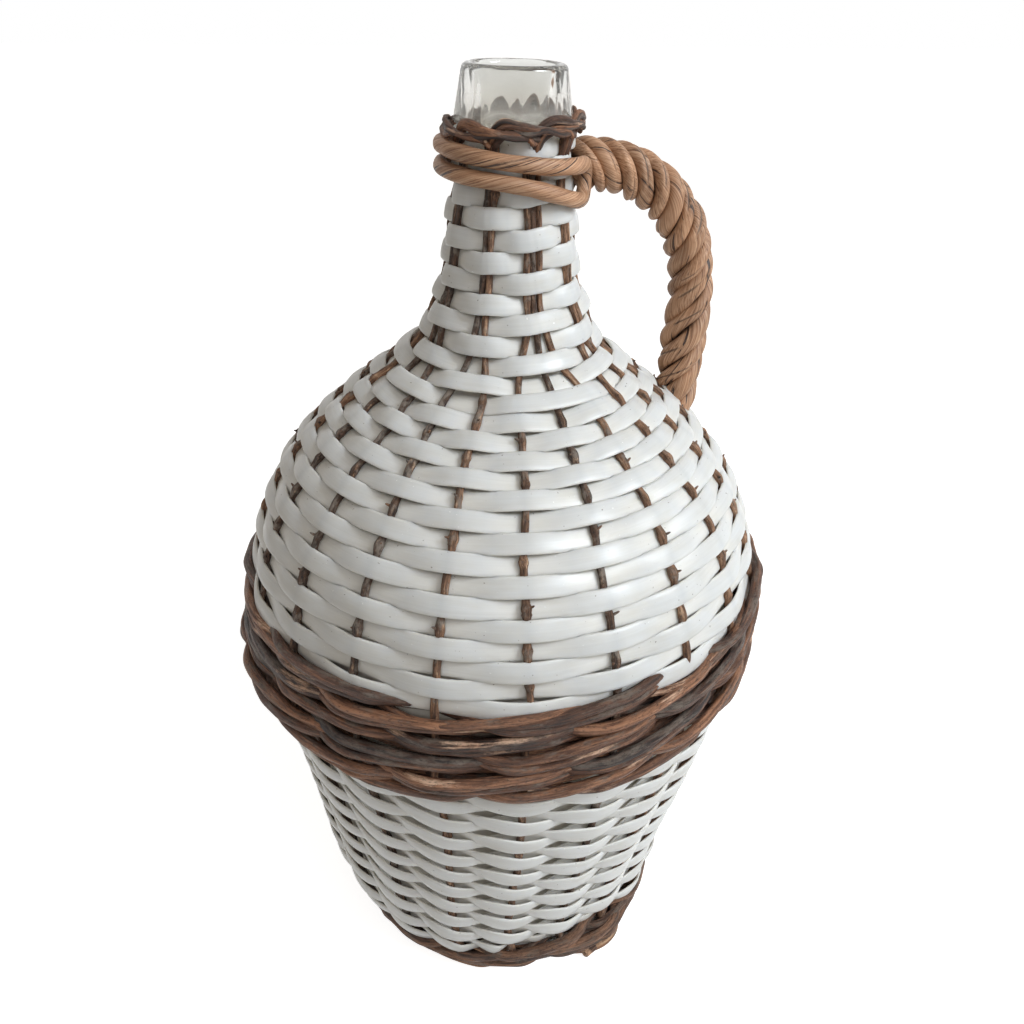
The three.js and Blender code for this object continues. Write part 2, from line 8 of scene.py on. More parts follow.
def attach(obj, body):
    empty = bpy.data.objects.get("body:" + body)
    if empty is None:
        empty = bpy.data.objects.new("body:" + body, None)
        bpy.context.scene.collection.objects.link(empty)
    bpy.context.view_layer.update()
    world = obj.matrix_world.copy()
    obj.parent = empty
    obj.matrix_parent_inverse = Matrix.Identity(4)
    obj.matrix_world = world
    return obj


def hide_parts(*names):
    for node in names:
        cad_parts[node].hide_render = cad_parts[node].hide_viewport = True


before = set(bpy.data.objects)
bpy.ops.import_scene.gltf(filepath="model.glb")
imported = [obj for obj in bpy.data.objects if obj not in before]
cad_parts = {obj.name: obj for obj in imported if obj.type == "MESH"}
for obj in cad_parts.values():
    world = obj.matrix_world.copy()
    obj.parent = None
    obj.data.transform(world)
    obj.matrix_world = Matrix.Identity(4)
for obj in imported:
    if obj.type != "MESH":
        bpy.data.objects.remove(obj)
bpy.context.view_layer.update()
mm = 0.001  # every length below is in millimetres
turn = 2 * math.pi


# Curves
sines = {"count": 5, "lengths": (0.6, 1.9), "gain": 1.4}  # what a wandering curve is made of


def unit(vectors):
    return vectors / np.maximum(np.linalg.norm(vectors, axis=-1, keepdims=True), 1e-9)


def ease(x, low, high):  # smooth step from 0 at low to 1 at high
    t = np.clip((np.asarray(x, float) - low) / (high - low), 0, 1)
    return t * t * (3 - 2 * t)


def bell(x):  # 1 at 0, falling away to both sides
    return np.exp(-x ** 2)


def cosineStep(first, second, t):  # from first at t = 0 to second at t = 1, by half a cosine
    return first + (second - first) * (1 - np.cos(math.pi * t)) / 2


def turnFrom(angle, middle):  # the turn from the middle to an angle, at most half a turn either way
    return np.angle(np.exp(1j * (angle - middle)))


def wander(x, length, seed):  # smooth random curve: the mean of a few sines of about the given length
    draw = np.random.default_rng(seed)
    waves = length * draw.uniform(*sines["lengths"], sines["count"])
    starts = draw.uniform(0, turn, sines["count"])
    return sines["gain"] * np.sin(turn * np.asarray(x, float)[..., None] / waves + starts).mean(-1)


def uneven(size, share, x, length, seed):  # a size that wanders by a share of itself
    return size * (1 + share * wander(x, length, seed))


def lengthAlong(path):
    return np.concatenate([[0], np.cumsum(np.linalg.norm(np.diff(path, axis=0), axis=1))])


def around(radius, angle, height):  # points round the bottle's axis
    return np.stack([radius * np.cos(angle), radius * np.sin(angle), height], -1)


def outwards(angle):  # level directions away from the axis
    return around(1.0, angle, 0 * angle)


def fromAxis(path):  # level vectors from the axis to the points
    return path * np.array([1, 1, 0])


def roundTurn(sides):
    return np.arange(sides) * turn / sides


def smoothPath(corners, count):
    # A Catmull-Rom curve through the corner points, sampled evenly by parameter.
    corners = np.asarray(corners, float)
    held = np.vstack([2 * corners[0] - corners[1], corners, 2 * corners[-1] - corners[-2]])
    at = np.linspace(0, len(corners) - 1 - 1e-6, count)
    k = at.astype(int)
    t = (at - k)[:, None]
    a, b, c, d = held[k], held[k + 1], held[k + 2], held[k + 3]
    square, cube = (2 * a - 5 * b + 4 * c - d) * t ** 2, (3 * b - a - 3 * c + d) * t ** 3
    return 0.5 * (2 * b + (c - a) * t + square + cube)


# Mesh tools

def gridMesh(name, points, grain, layers=None):
    # A grid of rings becomes quads from ring to ring and round each ring, with a flat face on each end.
    # The grain and the layers are values on its points, for the materials.
    rings, sides = points.shape[:2]
    corner = np.arange(rings * sides).reshape(rings, sides)
    nextSide = np.roll(corner, -1, axis=1)
    quads = np.stack([corner[:-1], nextSide[:-1], nextSide[1:], corner[1:]], -1).reshape(-1, 4)
    flat = points.reshape(-1, 3)
    a, b, c, d = (flat[quads[:, k]] for k in range(4))
    volume = np.einsum("ij,ij->i", np.cross(c - a, d - b), (a + b + c + d) / 4 - flat.mean(0)).sum()
    caps = [corner[0][::-1], corner[-1]]
    if volume < 0:  # inside out, so every face is turned over
        quads, caps = quads[:, ::-1], [cap[::-1] for cap in caps]
    loops = np.concatenate([quads.ravel()] + caps)
    starts = np.concatenate([np.arange(len(quads)) * 4, quads.size + np.array([0, sides])])
    mesh = bpy.data.meshes.new(name)
    mesh.vertices.add(len(flat))
    mesh.vertices.foreach_set("co", (flat * mm).astype(np.float32).ravel())
    mesh.loops.add(len(loops))
    mesh.loops.foreach_set("vertex_index", loops.astype(np.int32))
    mesh.polygons.add(len(starts))
    mesh.polygons.foreach_set("loop_start", starts.astype(np.int32))
    mesh.update(calc_edges=True)
    mesh.polygons.foreach_set("use_smooth", np.arange(len(starts)) < len(quads))
    stored = mesh.attributes.new("grain", "FLOAT_VECTOR", "POINT")
    stored.data.foreach_set("vector", grain.reshape(-1).astype(np.float32))
    for key, values in (layers or {}).items():
        stored = mesh.attributes.new(key, "FLOAT", "POINT")
        stored.data.foreach_set("value", values.reshape(-1).astype(np.float32))
    return mesh


def newObject(name, data):
    one = bpy.data.objects.new(name, data)
    bpy.context.scene.collection.objects.link(one)
    return one


def joinMeshes(meshes):
    # Several closed tubes of one piece go into one mesh.
    if len(meshes) == 1:
        return meshes[0]
    tubes = [newObject(mesh.name, mesh) for mesh in meshes]
    with bpy.context.temp_override(active_object=tubes[0], object=tubes[0],
                                   selected_objects=tubes, selected_editable_objects=tubes):
        bpy.ops.object.join()
    mesh = tubes[0].data
    bpy.data.objects.remove(tubes[0])
    return mesh


def place(name, meshes, material, node):
    mesh = joinMeshes(meshes)
    mesh.name = name
    mesh.materials.clear()
    mesh.materials.append(material)
    piece = newObject(name, mesh)
    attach(piece, "root")
    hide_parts(node)


grainShift = {"along": 977.0, "across": 31.0}  # times a piece's seed, so that each has its own grain


def sweep(name, path, hint, section, seed, layers, turned=None):
    # A section (across, out) carried along a path. Out is the hint made square to the path, and across is
    # square to both. The grain follows the path and turns about it by the angles given. Sky is how far a
    # point faces upwards.
    along = unit(np.gradient(path, axis=0))
    out = unit(hint - (hint * along).sum(-1, keepdims=True) * along)
    across = np.cross(out, along)
    offset = section[..., :1] * across[:, None] + section[..., 1:] * out[:, None]
    angle = np.zeros(len(path)) if turned is None else turned
    cos, sin = np.cos(angle)[:, None], np.sin(angle)[:, None]
    grain = np.empty(offset.shape)
    grain[..., 0] = lengthAlong(path)[:, None] + grainShift["along"] * seed
    grain[..., 1] = section[..., 0] * cos - section[..., 1] * sin + grainShift["across"] * seed
    grain[..., 2] = section[..., 0] * sin + section[..., 1] * cos
    return gridMesh(name, path[:, None] + offset, grain, {"sky": unit(offset)[..., 2], **layers})


bark = {  # low ridges along every rod, and cut ends that are slightly rounded
    "lobes": (2, 3, 5), "fade": 22.0, "twist": 0.02, "endShrink": 0.45, "endLength": 0.35,
}


def rod(name, path, hint, radius, seed, sides, rough, turned=None, peel=0.0):
    # A circle of the radius at each step of the path. Rough is the height of the ridges, which fade in and
    # out along the rod. Peel is 1 where its bark is gone.
    reach = lengthAlong(path)
    fromEnd = np.minimum(reach, reach[-1] - reach)
    radius = radius * (1 - bark["endShrink"] * np.exp(-fromEnd / bark["endLength"]))
    angle = roundTurn(sides)
    spread = np.ones((len(reach), sides))
    swell = spread.copy()
    draw = np.random.default_rng(seed)
    for lobes in bark["lobes"]:
        shift = draw.uniform(0, turn)
        fade = wander(reach, bark["fade"], seed + lobes)[:, None]
        swell += rough * fade * np.sin(lobes * angle + shift + bark["twist"] * reach[:, None])
    section = np.stack([np.cos(angle) * swell, np.sin(angle) * swell], -1) * radius[:, None, None]
    tone = np.random.default_rng(seed).uniform(-1, 1)  # lighter or darker as a whole
    return sweep(name, path, hint, section, seed, {"tone": tone * spread, "peel": peel * spread}, turned)


# Material tools

def tint(colour):  # a screen colour of 0 to 255 as linear light
    c = np.array(colour) / 255
    return tuple(np.where(c <= 0.04045, c / 12.92, ((c + 0.055) / 1.055) ** 2.4)) + (1.0,)


def wire(tree, node, inputs):  # a socket is linked to an input, and a plain value is set on it
    for key, value in inputs.items():
        if isinstance(value, bpy.types.NodeSocket):
            tree.links.new(value, node.inputs[key])
        else:
            node.inputs[key].default_value = value


def add(tree, kind, inputs=None, **settings):
    node = tree.nodes.new(kind)
    for key, value in settings.items():
        setattr(node, key, value)
    wire(tree, node, inputs or {})
    return node


def newMaterial(name):
    material = bpy.data.materials.new(name)
    material.use_nodes = True
    tree = material.node_tree
    tree.nodes.clear()
    shader = add(tree, "ShaderNodeBsdfPrincipled")
    add(tree, "ShaderNodeOutputMaterial", {"Surface": shader.outputs[0]})
    return material, tree, shader


def layer(tree, name):  # a value stored on the piece's points
    return add(tree, "ShaderNodeAttribute", attribute_name=name).outputs["Fac"]


def grainNoise(tree, along, across, detail, rough):
    # Noise in the straightened piece, finer with more waves per millimetre along and across it.
    grain = add(tree, "ShaderNodeAttribute", attribute_name="grain").outputs["Vector"]
    spread = add(tree, "ShaderNodeMapping", {"Vector": grain, "Scale": (along, across, across)}).outputs[0]
    noise = {"Vector": spread, "Scale": 1.0, "Detail": detail, "Roughness": rough}
    return add(tree, "ShaderNodeTexNoise", noise).outputs[0]


def ramp(tree, value, *stops):  # each stop is a place from 0 to 1 and a screen colour or a number
    node = add(tree, "ShaderNodeValToRGB", {"Fac": value})
    points = node.color_ramp.elements
    while len(points) < len(stops):
        points.new(0.5)
    for point, (at, colour) in zip(points, stops):
        point.position = at
        point.color = tint(colour) if isinstance(colour, tuple) else (colour, colour, colour, 1)
    return node.outputs[0]


def blendColour(tree, share, first, second, mode="MIX"):
    node = add(tree, "ShaderNodeMix", {0: share, 6: first, 7: second}, data_type="RGBA", blend_type=mode)
    return node.outputs[2]


def total(tree, *shares):  # the sum of values, each times a number
    whole = None
    for value, share in shares:
        part = add(tree, "ShaderNodeMath", {0: value, 1: share}, operation="MULTIPLY").outputs[0]
        whole = part if whole is None else add(tree, "ShaderNodeMath", {0: whole, 1: part}).outputs[0]
    return whole


def bump(tree, shader, height, depth, strength):
    node = add(tree, "ShaderNodeBump", {"Height": height, "Distance": depth * mm, "Strength": strength})
    wire(tree, shader, {"Normal": node.outputs[0]})


# Willow: streaks along the rod, one tone for each rod, grey weathered patches with a painted sheen that greys
# the top, peeled runs and dark pores
willowLooks = {
    "stakeBark": {
        "dark": (30, 19, 13), "mid": (96, 68, 50), "light": (176, 134, 104), "grey": (138, 127, 117),
        "pale": (222, 190, 160), "greyFrom": 0.52, "peelFrom": 0.56, "rough": 0.68,
        "scale": 3.4, "depth": 1.7, "tone": 0.11,
    },
    "bandBark": {
        "dark": (24, 12, 8), "mid": (92, 59, 41), "light": (168, 118, 86), "grey": (112, 100, 90),
        "pale": (226, 190, 163), "greyFrom": 0.55, "peelFrom": 0.67, "rough": 0.52,
        "scale": 1.6, "depth": 1.4, "tone": 0.15,
    },
    "footBark": {
        "dark": (18, 11, 8), "mid": (74, 51, 39), "light": (146, 106, 80), "grey": (100, 90, 81),
        "pale": (214, 172, 140), "greyFrom": 0.53, "peelFrom": 0.67, "rough": 0.60,
        "scale": 1.9, "depth": 1.6, "tone": 0.15,
    },
    "peeledWillow": {
        "dark": (80, 53, 37), "mid": (138, 99, 71), "light": (194, 155, 121), "grey": (132, 114, 98),
        "pale": (220, 186, 152), "greyFrom": 0.56, "peelFrom": 0.55, "rough": 0.64,
        "scale": 1.3, "depth": 0.9, "tone": 0.10,
    },
}


def willowMaterial(name):
    look = willowLooks[name]
    material, tree, shader = newMaterial(name)
    along = look["scale"]
    streak = grainNoise(tree, 0.035 * along, 0.85, 6.0, 0.68)
    patch = grainNoise(tree, 0.12 * along, 0.40, 5.0, 0.65)
    weather = grainNoise(tree, 0.07 * along, 0.34, 5.0, 0.65)
    pore = grainNoise(tree, 0.60, 1.4, 5.0, 0.75)
    toned = total(tree, (streak, 1.0), (layer(tree, "tone"), look["tone"]))
    colour = ramp(tree, toned, (0.30, look["dark"]), (0.52, look["mid"]), (0.74, look["light"]))
    # grey weathered patches, and a painted sheen: the sky layer makes the side facing up greyer
    dustAndPaintedLight = total(tree, (weather, 1.0), (layer(tree, "sky"), 0.07), (layer(tree, "tone"), -0.05))
    grey = ramp(tree, dustAndPaintedLight, (look["greyFrom"], 0.0), (look["greyFrom"] + 0.16, 0.85))
    colour = blendColour(tree, grey, colour, tint(look["grey"]))
    bare = total(tree, (patch, 0.45), (streak, 0.55), (layer(tree, "peel"), 0.30))
    worn = ramp(tree, bare, (look["peelFrom"], 0.0), (look["peelFrom"] + 0.13, 0.9))
    wood = ramp(tree, streak, (0.30, look["light"]), (0.60, look["pale"]))
    colour = blendColour(tree, worn, colour, wood)
    pits = ramp(tree, pore, (0.32, 0.15), (0.48, 1.0))
    colour = blendColour(tree, 1.0, colour, pits, "MULTIPLY")
    gloss = ramp(tree, streak, (0.3, look["rough"] + 0.14), (0.7, look["rough"] - 0.10))
    wire(tree, shader, {"Base Color": colour, "Roughness": gloss})
    height = total(tree, (streak, 0.55), (pore, 0.45), (patch, 0.5))
    bump(tree, shader, height, look["depth"], 0.9)
    return material


# Strips: milky plastic with drawn lines, painted light on the runs behind the stakes, painted shade over a
# stake, a painted highlight on the edges, with soil and a few specks
stripLook = {
    # painted light and shade: the colour for the runs behind the stakes is paler than the face, standing in
    # for light through the milky strips; the colour over a stake is painted shade, and the edge colour is a
    # painted highlight
    "face": (220, 221, 220), "hidden": (238, 235, 228), "over": (188, 193, 197), "edge": (236, 232, 223),
    "soil": (200, 194, 183), "speck": (104, 88, 72), "chip": (248, 248, 246),
    "milk": 0.85, "milkRadius": (1.0, 0.95, 0.85), "milkDepth": 4.0, "ior": 1.48,
}


def stripMaterial():
    look = stripLook
    material, tree, shader = newMaterial("milkyStrip")
    drawn = grainNoise(tree, 0.012, 1.3, 4.0, 0.6)
    cloud = grainNoise(tree, 0.05, 0.18, 3.0, 0.55)
    fine = grainNoise(tree, 0.75, 0.9, 2.0, 0.5)
    # painted light: the runs behind the stakes are paler than the face, standing in for light that comes
    # through the strips into the shade
    colour = ramp(tree, layer(tree, "depth"), (0.05, look["hidden"]), (0.62, look["face"]))
    # painted shade: greyer and bluer where a stake lies behind the strip
    colour = blendColour(tree, layer(tree, "over"), colour, tint(look["over"]))  # a stake shows through
    # painted highlight: paler along the strip's edges, standing in for light glowing through them
    colour = blendColour(tree, layer(tree, "edge"), colour, tint(look["edge"]))
    soil = ramp(tree, cloud, (0.42, 0.0), (0.78, 0.45))
    colour = blendColour(tree, soil, colour, tint(look["soil"]))
    colour = blendColour(tree, 1.0, colour, ramp(tree, drawn, (0.3, 0.94), (0.7, 1.0)), "MULTIPLY")
    dark = ramp(tree, fine, (0.735, 0.0), (0.765, 0.75))
    colour = blendColour(tree, dark, colour, tint(look["speck"]))
    pale = ramp(tree, fine, (0.235, 0.8), (0.265, 0.0))
    colour = blendColour(tree, pale, colour, tint(look["chip"]))
    wire(tree, shader, {
        "Base Color": colour, "Roughness": ramp(tree, cloud, (0.3, 0.30), (0.75, 0.46)), "IOR": look["ior"],
        "Subsurface Weight": look["milk"], "Subsurface Radius": look["milkRadius"],
        "Subsurface Scale": look["milkDepth"] * mm,
    })
    bump(tree, shader, drawn, 0.10, 0.5)
    return material


# Handle fibre: fine lines along the rope, dark splits, painted shade in the grooves between the strands
fibreLook = {"dark": (90, 58, 39), "mid": (170, 126, 94), "light": (220, 181, 148), "gap": (38, 20, 12)}


def fibreMaterial():
    look = fibreLook
    material, tree, shader = newMaterial("twistedFibre")
    fibre = grainNoise(tree, 0.018, 2.0, 5.0, 0.62)
    split = grainNoise(tree, 0.022, 0.62, 3.0, 0.5)
    tone = grainNoise(tree, 0.035, 0.1, 2.0, 0.5)
    colour = ramp(tree, fibre, (0.28, look["dark"]), (0.47, look["mid"]), (0.75, look["light"]))
    colour = blendColour(tree, 1.0, colour, ramp(tree, tone, (0.3, 0.68), (0.7, 1.10)), "MULTIPLY")
    # painted shade on the strands' inner sides and in their creases
    shade = ramp(tree, layer(tree, "groove"), (0.40, 1.0), (0.66, 0.22))
    colour = blendColour(tree, 1.0, colour, shade, "MULTIPLY")
    crack = ramp(tree, split, (0.345, 0.95), (0.385, 0.0))
    colour = blendColour(tree, crack, colour, tint(look["gap"]))
    wire(tree, shader, {"Base Color": colour, "Roughness": ramp(tree, fibre, (0.3, 0.66), (0.7, 0.40))})
    height = total(tree, (fibre, 0.5), (ramp(tree, split, (0.33, 0.0), (0.40, 1.0)), 0.5))
    bump(tree, shader, height, 0.5, 0.7)
    return material


# Glass: clear and greyish at the mouth, hazy by the collar, and under the jacket opaque, dusty and painted
# pale, as painted light in the slits between the strips
glassLook = {
    "clear": (0.72, 0.725, 0.71, 1), "dustAndPaintedLight": (0.90, 0.86, 0.79, 1), "jacketTop": 347.0, "mouthFrom": 366.0,
    "ior": 1.48, "waves": 75.0,
}


def glassMaterial():
    look = glassLook
    material, tree, shader = newMaterial("clearGlass")
    where = add(tree, "ShaderNodeTexCoord").outputs["Object"]
    noise = {"Vector": where, "Scale": look["waves"], "Detail": 2.0}
    wave = add(tree, "ShaderNodeTexNoise", noise).outputs[0]
    height = add(tree, "ShaderNodeSeparateXYZ", {"Vector": where}).outputs["Z"]
    mouth = add(tree, "ShaderNodeMapRange", {"Value": height, "From Min": look["jacketTop"] * mm,
                                             "From Max": look["mouthFrom"] * mm}).outputs[0]
    wire(tree, shader, {
        # painted light with the dust: below the jacket's top the glass turns opaque and very pale, so the
        # slits between the strips look lit
        "Base Color": blendColour(tree, mouth, look["dustAndPaintedLight"], look["clear"]), "IOR": look["ior"],
        "Roughness": ramp(tree, mouth, (0.0, 0.6), (0.3, 0.06), (1.0, 0.02)),
        "Transmission Weight": ramp(tree, mouth, (0.0, 0.0), (0.27, 0.72), (0.8, 1.0)),
    })
    bump(tree, shader, wave, 0.5, 0.35)
    return material


stakeBark, bandBark, footBark, peeledWillow = map(willowMaterial, willowLooks)
milkyStrip = stripMaterial()
twistedFibre = fibreMaterial()
clearGlass = glassMaterial()
print("materials made")


# The wall that every part of the jacket follows
wall = {
    "bellyRadius": 97.0, "bellyHeight": 174.5, "lean": math.radians(10.6), "bellyArc": 100.0,
    "shoulderArc": 94.0, "slope": math.radians(35.6), "hollow": 36.0, "neck": 15.2,
    "finishLow": 356.0, "top": 370.0, "clearance": 0.3,
}
flare = {  # the jacket stands out from the plain wall: heights, and how far
    "lowHeights": (-5, 0, 6, 12, 20, 28, 35, 50, 75, 120, 145, 158, 170),
    "lowLifts": (0, 0.4, 1.2, 2.2, 3.1, 3.6, 3.2, 2.5, 2.0, 2.0, 1.6, 0.7, 0),
    "heights": (186, 195, 205, 220, 235, 246, 255, 260, 265, 270, 274,
                278, 282, 286, 290, 296, 300, 305, 312, 320, 328, 336),
    "lifts": (0, 0.6, 1.1, 1.3, 1.2, 0.9, 1.1, 1.6, 2.2, 2.7, 3.2,
              4.1, 5.2, 6.3, 6.6, 5.3, 4.3, 3.1, 2.3, 1.5, 0.6, 0),
    "span": (-10.0, 360.0), "soft": 5,
}
flareHeights = np.arange(*flare["span"])
flareLifts = np.convolve(
    np.interp(flareHeights, flare["lowHeights"] + flare["heights"], flare["lowLifts"] + flare["lifts"]),
    np.ones(flare["soft"]) / flare["soft"], "same")


def wallLine(outBy, low, high, step=0.25):
    # Radius and height up the wall, moved outwards: lower cone, belly arc, shoulder arc, shoulder cone,
    # hollow arc and neck. The height at which the neck begins comes with it.
    w = wall
    lowArc, highArc, hollow = w["bellyArc"] + outBy, w["shoulderArc"] + outBy, w["hollow"] - outBy
    firstCentre, secondCentre = w["bellyRadius"] - w["bellyArc"], w["bellyRadius"] - w["shoulderArc"]
    lowR = firstCentre + lowArc * math.cos(w["lean"])
    lowZ = w["bellyHeight"] - lowArc * math.sin(w["lean"])
    coneR = secondCentre + w["shoulderArc"] * math.sin(w["slope"])
    coneZ = w["bellyHeight"] + w["shoulderArc"] * math.cos(w["slope"])
    touchR = w["neck"] + w["hollow"] * (1 - math.sin(w["slope"]))
    touchZ = coneZ + (coneR - touchR) * math.tan(w["slope"])
    filletR, filletZ = w["neck"] + w["hollow"], touchZ + w["hollow"] * math.cos(w["slope"])

    def arc(cr, cz, radius, start, end):
        angle = np.linspace(start, end, max(3, int(abs(end - start) * radius / step)))
        return np.stack([cr + radius * np.cos(angle), cz + radius * np.sin(angle)], -1)

    def line(a, b):
        t = np.linspace(0, 1, max(2, int(math.dist(a, b) / step)))[:, None]
        return np.array(a) * (1 - t) + np.array(b) * t

    belly = arc(firstCentre, w["bellyHeight"], lowArc, -w["lean"], 0)
    shoulder = arc(secondCentre, w["bellyHeight"], highArc, 0, math.pi / 2 - w["slope"])
    throat = arc(filletR, filletZ, hollow, 1.5 * math.pi - w["slope"], math.pi)
    parts = [line((lowR - (lowZ - low) * math.tan(w["lean"]), low), (lowR, lowZ)), belly, shoulder,
             line(shoulder[-1], throat[0]), throat, line(throat[-1], (w["neck"] + outBy, high))]
    points = np.vstack([parts[0]] + [part[1:] for part in parts[1:]])
    tangent = unit(np.gradient(points, axis=0))
    lift = np.interp(points[:, 1], flareHeights, flareLifts)[:, None]
    return points + lift * np.stack([tangent[:, 1], -tangent[:, 0]], -1), filletZ


stake = {
    "count": 21, "footRadius": 2.2, "start": 1.0, "belowFinish": 0.5, "tipDrop": 6.0, "slack": 0.4,
    "bundles": 9, "firstBundled": 13, "firstBundleAngle": math.radians(-128), "gatherLead": 8.0,
    "beside": 0.1, "thickFoot": 1.7, "thickTip": 1.0, "uneven": 0.12, "unevenLength": 14.0, "rings": 520,
    "sides": 12, "rough": 0.11, "sway": 0.9, "swayLength": 55.0, "steadied": 0.6,
    "bend": 0.55, "bendFrom": 14.0, "bendTo": (-6.0, 4.0),
    "knots": 10, "knotEnds": 20.0, "knotHeight": 0.42, "knotShares": (0.5, 1.4), "knotWidths": (0.8, 2.2),
}
strip = {"thickness": 1.3, "pitch": 6.9, "start": 200.5, "lead": 40}
band = {
    "rodRadius": 2.2, "count": 8, "step": 5.0, "height": 172.5, "tilt": 4.5, "tiltTurn": math.radians(20),
    "bow": 1.0, "ease": 9.0, "butt": 2.25, "tip": 1.8, "thinner": (0.35, 0.25), "inset": 0.3, "uneven": 0.11,
    "unevenLength": 1.6, "rough": 0.14, "peels": 9, "wander": 1.6, "climb": 3.8, "samples": 20, "sides": 14,
    "press": 0.4, "sag": 3.0, "sagMore": 2.2, "sagTurn": math.radians(165), "sagAt": -11.5, "sagWidth": 7.5,
    "sagDrop": 1.2, "liner": 1.9, "liners": 6,
}

standOff = 2 * wall["clearance"] + strip["thickness"] + stake["footRadius"] + stake["slack"]
stakeLine, neckFoot = wallLine(standOff, stake["start"], wall["finishLow"] - stake["belowFinish"])
lineLength = lengthAlong(stakeLine)
stakeLength = lineLength[-1]
lineTangent = unit(np.gradient(stakeLine, axis=0))
stakeStep = turn / stake["count"]


def alongAt(height):
    return np.interp(height, stakeLine[:, 1], lineLength)


bandMiddle = alongAt(band["height"])
bandHalf = band["step"] * (band["count"] - 1) / 2 + band["rodRadius"]
bandTop = bandMiddle + bandHalf
gatherFrom = alongAt(neckFoot - (wall["hollow"] - standOff) * math.cos(wall["slope"])) - stake["gatherLead"]
gatherTo = alongAt(neckFoot)


def stakeRadius(along):
    return stake["thickFoot"] + (stake["thickTip"] - stake["thickFoot"]) * along / stakeLength


def wallRadius(along):
    return np.interp(along, lineLength, stakeLine[:, 0])


def wallTangent(along):
    return (np.interp(along, lineLength, lineTangent[:, k]) for k in range(2))


def bandCentre(angle):  # the band lies a little askew
    return bandMiddle + band["tilt"] * np.cos(angle - band["tiltTurn"])


def inBand(along, angle, spare):  # 1 behind the band, 0 clear of it
    return 1 - ease(np.abs(along - bandCentre(angle)) - bandHalf - spare, 0, band["ease"])


def bandBow(along, angle):  # the stakes bow out behind the band, most behind its lower half
    low = bell((along - bandCentre(angle) - band["sagAt"]) / band["sagWidth"])
    return band["bow"] + low * (band["sag"] + band["sagMore"] * np.cos(angle - band["sagTurn"]))


slide = {  # the basket's foot has slid towards the handle's side: heights, and how far
    "heights": (0, 7, 15, 23, 32, 45, 70, 95, 130, 150),
    "shifts": (8.0, 5.4, 2.0, 0.4, -0.8, -1.4, -0.5, 0.4, 0.4, 0), "turn": math.radians(-18),
}
pinch = {"by": 6.5, "turn": math.radians(-32), "width": 0.5, "from": 8.0, "to": 26.0}  # drawn in on that side
squeeze = {"by": 1.2, "from": alongAt(325.0), "to": alongAt(334.0)}  # drawn in by the strand round the neck


def slid(height):
    aside = np.interp(height, slide["heights"], slide["shifts"])
    return np.stack([aside * math.cos(slide["turn"]), aside * math.sin(slide["turn"]), 0 * aside], -1)


def footPinch(along, angle):
    near = bell(turnFrom(angle, pinch["turn"]) / pinch["width"])
    return pinch["by"] * near * (1 - ease(along, pinch["from"], pinch["to"]))


def onWall(along, out, angle):
    # The stakes' middle line, moved along its normal by out, bowed out over the band, drawn in on the neck
    # and at the foot's pinch, and slid at the foot.
    lift = out + bandBow(along, angle) * inBand(along, angle, 0.0) - footPinch(along, angle)
    lift = lift - squeeze["by"] * ease(along, squeeze["from"], squeeze["to"])
    tr, tz = wallTangent(along)
    z = np.interp(along, lineLength, stakeLine[:, 1]) - tr * lift
    return around(wallRadius(along) + tz * lift, angle, z) + slid(z)


def wallNormal(along, angle):
    tr, tz = wallTangent(along)
    return around(tz, angle, -tr)


# Which bundle each stake joins on the neck, and its place in the bundle
order = np.arange(stake["count"])
bundleOrder = ((order + 0.5) * stake["bundles"] / stake["count"]).astype(int)
bundled = (stake["firstBundled"] + order) % stake["count"]
bundleOf, placeOf = np.empty(stake["count"], int), np.empty(stake["count"])
bundleOf[bundled] = bundleOrder
placeOf[bundled] = (order - np.searchsorted(bundleOrder, bundleOrder)
                    - (np.bincount(bundleOrder)[bundleOrder] - 1) / 2)


def stakeAngle(which, along):
    # Even spread on the body, drawn side by side into bundles on the neck.
    spread = which * stakeStep
    beside = (2 * stakeRadius(along) + stake["beside"]) / wallRadius(along)
    bundleAngle = stake["firstBundleAngle"] + bundleOf[which] * turn / stake["bundles"]
    shift = turnFrom(bundleAngle + placeOf[which] * beside, spread)
    return spread + shift * ease(along, gatherFrom, gatherTo)


# Bottle: an outline turned round the axis, with eight soft flats on the finish
bottle = {
    "baseHeight": 12.0, "heel": 20.0, "heelSteps": 14, "pushUp": 9.0, "domeSteps": 10, "glass": 3.0,
    "wallLow": 20.0, "wallStep": 3.0, "finishRadius": 19.4, "rimRadius": 17.2, "ringLow": 351.5,
    "ringGap": 1.0, "lip": 2.0, "innerLip": 1.6, "lipSteps": 6, "mouthFlare": 2.6, "sides": 144,
    "ringFoot": ((-1.2, 0), (-0.2, 0.8), (0, 2.2)),  # from the finish radius and the ring's low end
    "throat": ((0.6, -5.0), (0, -9.0)),  # from the bore's wall and the top
    "flats": 8, "flatShare": 0.7, "flatSwell": 1.03, "flatTurn": math.radians(-125),
    "flatFoot": (-1, 3), "flatTop": (-5, -1), "flatDepth": 2.8,
}


